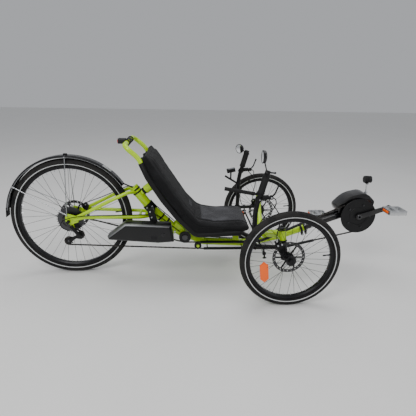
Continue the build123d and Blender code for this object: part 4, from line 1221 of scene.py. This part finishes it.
def build_battery():
    """Case with softened facets, a grey band painted as the highlight on its upper near bevel, lock, charge
    lid, level lights and its plate's screws.
    """
    softened("battery", 0.004, battery_shell(), 3, 20)
    band = merged_copy("battery")
    band.normal_update()
    # Only the facets that face up and toward the camera's side keep the band: a painted highlight on the
    # bevel.
    keep = [face for face in band.faces if face.normal.y < -0.3 and face.normal.z > 0.25]
    bmesh.ops.delete(band, geom=[f for f in band.faces if f not in keep], context="FACES")
    inset = bmesh.ops.inset_region(band, faces=list(band.faces), thickness=0.0022, depth=0.0)["faces"]
    bmesh.ops.delete(band, geom=inset, context="FACES")
    for vert in band.verts:
        vert.co += vert.normal * 0.0006
    # This light grey metal stands for the highlight on that bevel, painted into its colour.
    grey = machined_alloy("battery_painted_highlight", (0.3, 0.305, 0.31), 0.5)
    strip = piece("battery_highlight_band", BODY_OF["battery"], band, grey, keep_normals=True)
    wall = strip.modifiers.new("wall", "SOLIDIFY")
    wall.thickness = 0.0009
    steel = machined_alloy("battery_screw_steel")
    face = Vector((0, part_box("battery")[0].y, 0))
    plastic = moulded_black()
    profile = [
        (-0.001, 0.0105), (0.0016, 0.0105), (0.0026, 0.0088),
        (0.0026, 0.003), (0.0008, 0.0022), (0.0008, 0),
    ]
    lathe(
        "battery_lock", BODY_OF["battery"], profile, place(-612, 0, 282) + face, -Y,
        gloss_black(), 24,
    )
    shape = bmesh.new()
    block(shape, place(-662, 0, 262) + face, (0.034, 0.004, 0.02), None, 0.0016, 2)
    for index in range(4):
        block(shape, place(-712 - 11 * index, 0, 300) + face, (0.006, 0.002, 0.0035), None, 0.0007, 1)
    piece("battery_charge_lid", BODY_OF["battery"], shape, plastic)
    handle = bmesh.new()
    lean = Matrix.Rotation(math.radians(2.7), 4, "Y")
    block(handle, place(-690, -124, 337.5), (0.07, 0.03, 0.006), lean, 0.0024, 2)
    piece("battery_latch", BODY_OF["battery"], handle, plastic)
    softened("battery_mount", 0.0012, satin_black("mount_black"), 2, 35)
    spots = [
        (place(-683, -90, 385), -Y), (place(-675, -90, 354), -Y),
        (place(-700, -64, 396.2), Z), (place(-676, -40, 396.2), Z),
    ]
    screws("battery_mount_screws", BODY_OF["battery_mount"], spots, 0.0045, steel)


def build_controls(sizes):
    """Grips, clamps, lever blades, mirrors, the display and the bar-end shifter."""
    run = (place(-122, 0, 634) - place(-157, 0, 504)).normalized()
    steel = machined_alloy("control_screw_steel")
    black = satin_black("bar_black")
    plastic = moulded_black()
    for name, side in (("right", -1), ("left", 1)):
        body = BODY_OF[f"grip_{name}"]
        top = place(-122, side * 300, 634)
        dress(f"grip_{name}", grip_rubber(top, run))
        for index, back in enumerate((0.0035, 0.0865)):
            ring_band(
                f"grip_collar_{name}_{index}", body, top - run * back, run, 0.0164, 0.0182, 0.006,
                black,
            )
        seat = top - run * 0.118
        spots = [
            (seat + Vector((0.002, side * 0.0165, -0.001)), Y * side),
            (seat - X * 0.0168 + Z * 0.0045, -X),
        ]
        screws(f"lever_clamp_screws_{name}", body, spots, sizes.bolt_head * 0.8, steel)
        low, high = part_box(f"brake_lever_{name}")
        pin = Vector((low.x + 0.007, (low.y + high.y) / 2, low.z + 0.007))
        lathe(f"lever_pin_{name}", body, [(0, 0.0042), (0.0014, 0.0042), (0.0022, 0.003), (0.0022, 0)],
              pin + Y * side * 0.0101, Y * side, steel, 16)
        alloy = machined_alloy(f"lever_alloy_{name}", (0.02, 0.02, 0.021), 0.34)
        softened(f"brake_lever_{name}", 0.0006, alloy, 2, 50)
        reservoir = bmesh.new()
        lean = Matrix.Rotation(-0.11, 4, "Y")
        block(reservoir, seat + Vector((0.03, side * 0.002, 0.0115)), (0.034, 0.018, 0.012), lean, 0.003, 3)
        piece(f"brake_reservoir_{name}", body, reservoir, plastic)
        if side > 0:
            profile = [(-0.012, 0.0142), (-0.0008, 0.0142), (0.0008, 0.012), (0.0012, 0)]
            lathe("grip_end_left", body, profile, top + run * 0.0125, run, plastic, 24)
    for name, node in (("right", "mirror_right"), ("left", "mirror_left")):
        shell = gloss_black()
        dress(node, shell)
        mount = ()
        low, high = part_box(node)
        radius = 0.029 if name == "right" else 0.027
        centre = place(-147, 0, 724) if name == "right" else place(-166, 0, 657)
        centre.y = (low.y + high.y) / 2 if name == "left" else low.y + radius
        tilt = -X if name == "right" else Vector((-0.71, -0.7, 0))
        if name == "left":
            mount = (node,)
            base = Vector((high.x - 0.004, centre.y, low.z + 0.004))
            arm = [
                base, base - X * 0.006 + Z * 0.004,
                centre + Vector((0.012, 0.008, -0.012)), centre - tilt * 0.006,
            ]
            pipe("mirror_arm_left", BODY_OF[node], arm, 0.0032, shell, sides=10)
        profile = [(0.0, radius * 0.9), (0.0006, radius * 0.9), (0.0009, radius * 0.86), (0.0009, 0)]
        lathe(
            f"mirror_face_{name}", BODY_OF[node], profile, centre + tilt * 0.0042, tilt,
            mirror_face(), 48,
        )
        ring_band(
            f"mirror_bezel_{name}", BODY_OF[node], centre + tilt * 0.0036, tilt,
            radius * 0.9, radius * 1.035, 0.004, plastic,
        )
        lathe(f"mirror_back_{name}", BODY_OF[node],
              [(-0.009, 0), (-0.009, radius * 0.98), (0.0, radius), (0.004, radius * 0.93),
               (0.0075, radius * 0.7), (0.0095, radius * 0.35), (0.01, 0)],
              centre - tilt * 0.0048, -tilt, shell, 48, mount)
    softened("display", 0.0022, plastic, 3, 50)
    shape = bmesh.new()
    tilt = Matrix.Rotation(math.radians(-12), 4, "Y")
    block(shape, place(-211.5, 303, 533.2), (0.04, 0.026, 0.0016), tilt, 0.0006, 1)
    piece("display_screen", BODY_OF["display"], shape, screen_glass())
    keys = bmesh.new()
    for index in range(3):
        block(keys, place(-222 + 12 * index, 285, 521 + 2.5 * index), (0.008, 0.004, 0.006), tilt, 0.0014, 2)
    piece("display_keys", BODY_OF["display"], keys, soft_rubber())
    alloy = machined_alloy("shifter_alloy", (0.05, 0.05, 0.053), 0.3)
    softened("shifter_lever", 0.0008, alloy, 2, 50)


def build_brakes():
    """Caliper finishes, with their screws and the front hoses' fittings."""
    black = satin_black("caliper_black")
    steel = machined_alloy("caliper_screw_steel")
    for name, side in (("right", -1), ("left", 1)):
        dress(f"front_brake_{name}", black)
        centre = wheel_point(place(0, side * 346, 243), 0.076, math.radians(130))
        offsets = ((-0.010, 0.006), (0.008, 0.012))
        spots = [(centre + Vector((dx, side * 0.0178, dz)), Y * side) for dx, dz in offsets]
        spots += [(place(-58, side * 333.7, 316), -Y * side), (place(-34, side * 333.7, 276), -Y * side)]
        screws(f"caliper_screws_{name}", BODY_OF[f"front_brake_{name}"], spots, 0.0042, steel)
        banjo = centre + Vector((-0.012, 0, 0.0195))
        lathe(f"banjo_{name}", BODY_OF[f"front_brake_{name}"],
              [(-0.002, 0.0052), (0.005, 0.0052), (0.007, 0.0042), (0.012, 0.0038), (0.0125, 0.0024)],
              banjo, Z, steel, 16)
    softened("rear_caliper", 0.002, black, 2, 35)
    centre = wheel_point(REAR_AXLE + Y * 0.0555, 0.076, math.radians(38))
    spots = [(centre + Vector((0.004, -0.0142, 0.01)), -Y)]
    screws("rear_caliper_screws", BODY_OF["rear_caliper"], spots, 0.004, steel)


# ---------------------------------------------------------------- frame details
def weld(shape, at, axis, radius):
    """Row of small overlapping scales round a joint."""
    count = max(16, int(radius * 1600))
    turn = Matrix.Translation(at) @ basis(axis)
    scale = Matrix.Translation((radius, 0, 0)) @ Matrix.Diagonal((0.0022, 0.0034, 0.0024, 1))
    for index in range(count):
        matrix = turn @ Matrix.Rotation(2 * math.pi * index / count, 4, "Z") @ scale
        bmesh.ops.create_uvsphere(shape, u_segments=6, v_segments=4, radius=1, matrix=matrix)


def build_frame_details(colours):
    """Painted frame with its welds, headset cups, bands, straps and screws."""
    paint = frame_paint(tuple(colours.frame_paint))
    for node in ("main_frame", "seat_frame", "swingarm"):
        dress(node, paint)
    beads = bmesh.new()
    for side in (-1, 1):
        inward = place(-43, side * 245, 325) - place(-28, side * 313, 341)
        weld(beads, place(-31.8, side * 295.5, 337), inward, 0.0163)
        weld(beads, place(-60, side * 26, 216), Vector((0.0, side * 0.72, 0.69)), 0.0168)
    weld(beads, place(-484, 0, 217.5), Vector((-1, 0, 0.42)), 0.0205)
    piece("frame_welds", BODY_OF["main_frame"], beads, paint)
    beads = bmesh.new()
    weld(beads, place(-562.5, 0, 257.5), Vector((-1, 0, 0.98)), 0.0252)
    weld(beads, place(-776, 0, 495), Vector((-84, 0, 111)), 0.0245)
    piece("swingarm_welds", BODY_OF["swingarm"], beads, paint)
    cups = bmesh.new()
    for side in (-1, 1):
        top, bottom = place(-31, side * 310, 370), place(-24, side * 318, 312)
        lift = (top - bottom).normalized()
        for at, way in ((top, -1), (bottom, 1)):
            profile = [
                (0.0, 0.0171), (0.0, 0.0195), (0.0042, 0.0195),
                (0.006, 0.0182), (0.006, 0.0171), (0.0, 0.0171),
            ]
            turned(cups, profile, at, lift * way, 32)
    piece("headset_cups", BODY_OF["main_frame"], cups, satin_black("cup_black"))
    steel = machined_alloy("frame_screw_steel")
    spots = [(place(-556, side * 32.13, 250), Y * side) for side in (-1, 1)]
    screws("pivot_screws", BODY_OF["swingarm"], spots, 0.0055, steel)
    slope = math.radians(19.8)
    clamp_spots = []
    for along in (130, 152):
        base = place(40 + along * math.cos(slope), 0, 208 + along * math.sin(slope))
        down = Vector((math.sin(slope), 0, -math.cos(slope)))
        clamp_spots += [(base + down * 0.034 + Y * side * 0.0076, Y * side) for side in (-1, 1)]
    screws("boom_clamp_screws", BODY_OF["boom_clamp"], clamp_spots, 0.0045, steel)
    band = moulded_black()
    diagonal = Vector((-144, 0, 141)).normalized()
    for index, (x, z) in enumerate(((-604, 297.8), (-632, 325.2))):
        at = place(x, 0, z)
        ring_band(
            f"cable_band_{index}", BODY_OF["swingarm"], at, diagonal, 0.0251, 0.0268, 0.009,
            band,
        )
    top = Vector((-84, 0, 111)).normalized()
    for index, along in enumerate((0.016, 0.034)):
        at = place(-776, 0, 495) - top * along
        ring_band(
            f"diagonal_strap_{index}", BODY_OF["swingarm"], at, top, 0.0251, 0.0272, 0.008,
            band,
        )
    rod_end = bmesh.new()
    profile = [(-0.012, 0.0052), (-0.012, 0.0072), (0.012, 0.0072), (0.012, 0.0052), (-0.012, 0.0052)]
    for side in (-1, 1):
        turned(rod_end, profile, place(-114.2, side * 296, 249.3), Y, 6)
    piece("tie_rod_nuts", BODY_OF["tie_rod"], rod_end, steel)


def build_elastomer():
    """Rubber spring with its edges rounded over, on a mesh of its own."""
    block_piece = softened("elastomer_block", 0.002, soft_rubber())
    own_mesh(block_piece)


def build_cables():
    """Clipped wiring along the frame, and the shift and brake lines to the rear."""
    sheath = soft_rubber()
    motor_wire = [
        place(-470, 24, 232), place(-430, 23, 212), place(-395, 22, 196), place(-300, 20, 190),
        place(-200, 16, 187), place(-110, 19, 188), place(-66, 22, 184), place(-20, 23, 196),
        place(60, 23.5, 216), place(110, 24, 234), place(140, 28.5, 246), place(190, 28.5, 264),
        place(250, 21, 287), place(320, 20, 312), place(356, 20, 340), place(364, 20, 366),
    ]
    wire = pipe("motor_wire", None, motor_wire, 0.003, sheath)
    place(200, 0, 260)
    place(330, 0, 260)
    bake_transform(wire)
    clips = bmesh.new()
    profile = [(-0.003, 0.003), (-0.003, 0.0046), (0.003, 0.0046), (0.003, 0.003), (-0.003, 0.003)]
    for at in (place(-300, 20, 190), place(-120, 18.5, 188), place(-395, 22, 196)):
        turned(clips, profile, at, X, 12)
    piece("wire_clips", BODY_OF["main_frame"], clips, moulded_black())
    rear_brake = [
        place(-520, 27, 252), place(-560, 29, 290), place(-610, 31, 335), place(-660, 36, 378),
        place(-712, 40, 420), place(-760, 48, 464), place(-800, 60, 492), place(-880, 73, 455),
        place(-960, 80, 418), place(-1030, 80, 392), place(-1052, 70, 386),
    ]
    pipe("rear_brake_line", BODY_OF["swingarm"], rear_brake, 0.0024, sheath)
    shift = [
        place(-530, -35, 250), place(-590, -36, 300), place(-650, -36, 352), place(-720, -56, 356),
        place(-850, -74, 360), place(-990, -86, 362), place(-1090, -90, 356), place(-1152, -92, 330),
        place(-1150, -92, 292), place(-1112, -90, 280),
    ]
    pipe("shift_line", BODY_OF["swingarm"], shift, 0.0023, sheath)
    for name, side in (("right", -1), ("left", 1)):
        line = [
            place(-104, side * 304, 516), place(-84, side * 304, 530), place(-66, side * 306, 510),
            place(-78, side * 309, 470), place(-128, side * 306, 430), place(-150, side * 312, 380),
            place(-148, side * 312, 320), place(-132, side * 310, 292),
        ]
        pipe(f"bar_line_{name}", BODY_OF[f"handlebar_{name}"], line, 0.0023, sheath)


def finish_nodes(colours):
    """Finishes of the CAD nodes that stay as they are."""
    black = satin_black("anodised_black")
    plastic = moulded_black()
    steel = machined_alloy("ground_steel", (0.085, 0.085, 0.09), 0.34)
    rubber = soft_rubber()
    by_finish = {
        black: [
            "boom_clamp", "knuckle_right", "knuckle_left", "handlebar_right", "handlebar_left",
            "derailleur_body", "derailleur_cage", "chainring", "tie_rod",
        ],
        plastic: ["chain_guides", "idler_pulley", "return_idler", "guide_pulley", "tension_pulley"],
        steel: ["pivot_axle", "rear_axle", "cassette"],
        rubber: ["wrist_bar"],
        gloss_black(): ["boom"],
        fender_black(tuple(colours.stripe)): ["rear_fender"],
    }
    for material, nodes in by_finish.items():
        for node in nodes:
            dress(node, material)


def build_rear_trim():
    """Stay eyelets, the fender's flap and its bolts."""
    steel = machined_alloy("stay_steel", (0.5, 0.5, 0.52), 0.3)
    spots = [(place(-1120, side * 79.6, 361), Y * side) for side in (-1, 1)]
    for angle in (90.5, 148.0):
        for side in (-1, 1):
            at = wheel_point(REAR_AXLE, 0.334, math.radians(angle))
            spots.append((Vector((at.x, side * 0.0323, at.z)), Y * side))
    screws("stay_screws", BODY_OF["rear_fender"], spots, 0.0042, steel)
    flap = bmesh.new()
    angle = math.radians(174.5)
    at = wheel_point(REAR_AXLE, 0.3405, angle)
    block(flap, at, (0.0028, 0.046, 0.052), Matrix.Rotation(math.radians(5.5), 4, "Y"), 0.001, 2)
    clip = bmesh.new()
    block(clip, wheel_point(REAR_AXLE, 0.3455, math.radians(91)), (0.02, 0.014, 0.009), None, 0.002, 2)
    piece("fender_clip", BODY_OF["rear_fender"], clip, moulded_black())
    piece("fender_flap", BODY_OF["rear_fender"], flap, soft_rubber())
    caps = bmesh.new()
    for side in (-1, 1):
        turned(caps, [(-0.001, 0.0088), (0.004, 0.0084), (0.0065, 0.006), (0.0068, 0)],
               place(-1114, side * 87.6, 325), Y * side, 20)
    piece("rear_axle_caps", BODY_OF["rear_axle"], caps, moulded_black())


# ---------------------------------------------------------------- stage
def build_stage():
    """Pale floor, plain world and three soft lights."""
    shape = bmesh.new()
    bmesh.ops.create_grid(shape, x_segments=8, y_segments=8, size=14)
    mesh = bpy.data.meshes.new("studio_floor")
    shape.to_mesh(mesh)
    shape.free()
    floor = bpy.data.objects.new("studio_floor", mesh)
    bpy.context.scene.collection.objects.link(floor)
    floor.data.materials.append(floor_finish())
    world = bpy.data.worlds.new("studio")
    world.use_nodes = True
    sky = world.node_tree.nodes["Background"]
    sky.inputs["Color"].default_value = (0.86, 0.88, 0.92, 1)
    sky.inputs["Strength"].default_value = 0.5
    bpy.context.scene.world = world
    for name, at, energy, size in (
        ("key", (-1.6, -3.0, 3.4), 95, 2.0),
        ("fill", (3.2, -2.2, 2.4), 25, 2.0),
        ("top", (0.0, 0.6, 4.2), 70, 3.0),
    ):
        lamp = bpy.data.lights.new(name, "AREA")
        lamp.energy = energy
        lamp.size = size
        holder = bpy.data.objects.new(name, lamp)
        bpy.context.scene.collection.objects.link(holder)
        holder.location = at
        holder.rotation_euler = (Vector((-0.1, 0, 0.3)) - Vector(at)).to_track_quat("-Z", "Y").to_euler()


def build_camera():
    """Camera on the trike's right, a little behind its middle and above the seat."""
    yaw, pitch, roll = -0.0631, 0.3205, 0.0188
    ahead = Vector((-math.sin(yaw), math.cos(yaw), 0))
    across = Vector((math.cos(yaw), math.sin(yaw), 0))
    forward = ahead * math.cos(pitch) - Z * math.sin(pitch)
    up = Z * math.cos(pitch) + ahead * math.sin(pitch)
    right = across * math.cos(roll) + up * math.sin(roll)
    up = up * math.cos(roll) - across * math.sin(roll)
    data = bpy.data.cameras.new("camera")
    data.lens = 32.34
    data.sensor_width = 36
    camera = bpy.data.objects.new("camera", data)
    bpy.context.scene.collection.objects.link(camera)
    turn = Matrix((right, up, -forward)).transposed().to_4x4()
    camera.matrix_world = Matrix.Translation(place(-496.3, -1965.7, 1029.2)) @ turn
    bpy.context.scene.camera = camera


# ---------------------------------------------------------------- operators and panel
class TRIKE_OT_nodes(bpy.types.Operator):
    """Give the CAD solids that stay as they are their finishes"""
    bl_idname = "trike.nodes"
    bl_label = "Dress plain solids"

    def execute(self, context):
        finish_nodes(context.scene.trike_colours)
        return {"FINISHED"}


class TRIKE_OT_frame(bpy.types.Operator):
    """Paint the frame and add its welds, cups, bands and screws"""
    bl_idname = "trike.frame"
    bl_label = "Frame details"

    def execute(self, context):
        build_frame_details(context.scene.trike_colours)
        return {"FINISHED"}


class TRIKE_OT_seat(bpy.types.Operator):
    """Make the padded seat with its seams, panels and piping"""
    bl_idname = "trike.seat"
    bl_label = "Seat pad"

    def execute(self, context):
        build_seat(context.scene.trike_sizes)
        return {"FINISHED"}


class TRIKE_OT_seat_fittings(bpy.types.Operator):
    """Add black rail skins painted as shade, lacing straps, buckles and hoop rings"""
    bl_idname = "trike.seat_fittings"
    bl_label = "Seat fittings"

    def execute(self, context):
        build_seat_fittings()
        return {"FINISHED"}


class TRIKE_OT_wheels(bpy.types.Operator):
    """Finish the three wheels and add nipples, valves and reflectors"""
    bl_idname = "trike.wheels"
    bl_label = "Wheels"

    def execute(self, context):
        build_wheels(context.scene.trike_colours, context.scene.trike_sizes)
        return {"FINISHED"}


class TRIKE_OT_drive(bpy.types.Operator):
    """Make the chain's links and every sprocket's teeth"""
    bl_idname = "trike.drive"
    bl_label = "Chain and sprockets"

    def execute(self, context):
        build_drive(context.scene.trike_sizes)
        return {"FINISHED"}


class TRIKE_OT_cranks(bpy.types.Operator):
    """Round the cranks and pedals and add pins and reflectors"""
    bl_idname = "trike.cranks"
    bl_label = "Cranks and pedals"

    def execute(self, context):
        build_cranks(context.scene.trike_colours)
        return {"FINISHED"}


class TRIKE_OT_motor(bpy.types.Operator):
    """Round the drive unit and add its caps and screws"""
    bl_idname = "trike.motor"
    bl_label = "Drive unit"

    def execute(self, context):
        build_motor()
        return {"FINISHED"}


class TRIKE_OT_lights(bpy.types.Operator):
    """Finish the headlight and the rear light"""
    bl_idname = "trike.lights"
    bl_label = "Lights"

    def execute(self, context):
        build_lights()
        return {"FINISHED"}


class TRIKE_OT_battery(bpy.types.Operator):
    """Finish the battery case and its bracket"""
    bl_idname = "trike.battery"
    bl_label = "Battery"

    def execute(self, context):
        build_battery()
        return {"FINISHED"}


class TRIKE_OT_controls(bpy.types.Operator):
    """Finish grips, levers, mirrors, display and shifter"""
    bl_idname = "trike.controls"
    bl_label = "Controls"

    def execute(self, context):
        build_controls(context.scene.trike_sizes)
        return {"FINISHED"}


class TRIKE_OT_brakes(bpy.types.Operator):
    """Finish the three calipers and add their screws and hose ends"""
    bl_idname = "trike.brakes"
    bl_label = "Brakes"

    def execute(self, context):
        build_brakes()
        return {"FINISHED"}


class TRIKE_OT_cables(bpy.types.Operator):
    """Add the clipped wiring and control lines"""
    bl_idname = "trike.cables"
    bl_label = "Cables"

    def execute(self, context):
        build_cables()
        return {"FINISHED"}


class TRIKE_OT_rear_trim(bpy.types.Operator):
    """Add the fender's flap, stay screws, axle caps and the rubber spring"""
    bl_idname = "trike.rear_trim"
    bl_label = "Rear trim"

    def execute(self, context):
        build_rear_trim()
        build_elastomer()
        return {"FINISHED"}


class TRIKE_OT_stage(bpy.types.Operator):
    """Lay the floor and place the lights and the camera"""
    bl_idname = "trike.stage"
    bl_label = "Stage"

    def execute(self, context):
        build_stage()
        build_camera()
        return {"FINISHED"}


OPERATORS = (
    TRIKE_OT_stage, TRIKE_OT_nodes, TRIKE_OT_frame, TRIKE_OT_seat, TRIKE_OT_seat_fittings, TRIKE_OT_wheels,
    TRIKE_OT_drive, TRIKE_OT_cranks, TRIKE_OT_motor, TRIKE_OT_lights, TRIKE_OT_battery, TRIKE_OT_controls,
    TRIKE_OT_brakes, TRIKE_OT_cables, TRIKE_OT_rear_trim,
)


class TRIKE_PT_panel(bpy.types.Panel):
    """Lists the settings and the steps"""
    bl_label = "Tricycle"
    bl_space_type = "VIEW_3D"
    bl_region_type = "UI"
    bl_category = "Tricycle"

    def draw(self, context):
        for settings in (context.scene.trike_colours, context.scene.trike_sizes):
            for name in settings.__annotations__:
                self.layout.prop(settings, name)
        for operator in OPERATORS:
            self.layout.operator(operator.bl_idname)


CLASSES = (TrikeColours, TrikeSizes, *OPERATORS, TRIKE_PT_panel)


def register():
    for made in CLASSES:
        bpy.utils.register_class(made)
    bpy.types.Scene.trike_colours = PointerProperty(type=TrikeColours)
    bpy.types.Scene.trike_sizes = PointerProperty(type=TrikeSizes)


def unregister():
    del bpy.types.Scene.trike_sizes
    del bpy.types.Scene.trike_colours
    for made in reversed(CLASSES):
        bpy.utils.unregister_class(made)


def main():
    register()
    for operator in OPERATORS:
        group, action = operator.bl_idname.split(".")
        getattr(getattr(bpy.ops, group), action)()


if __name__ == "__main__":
    main()
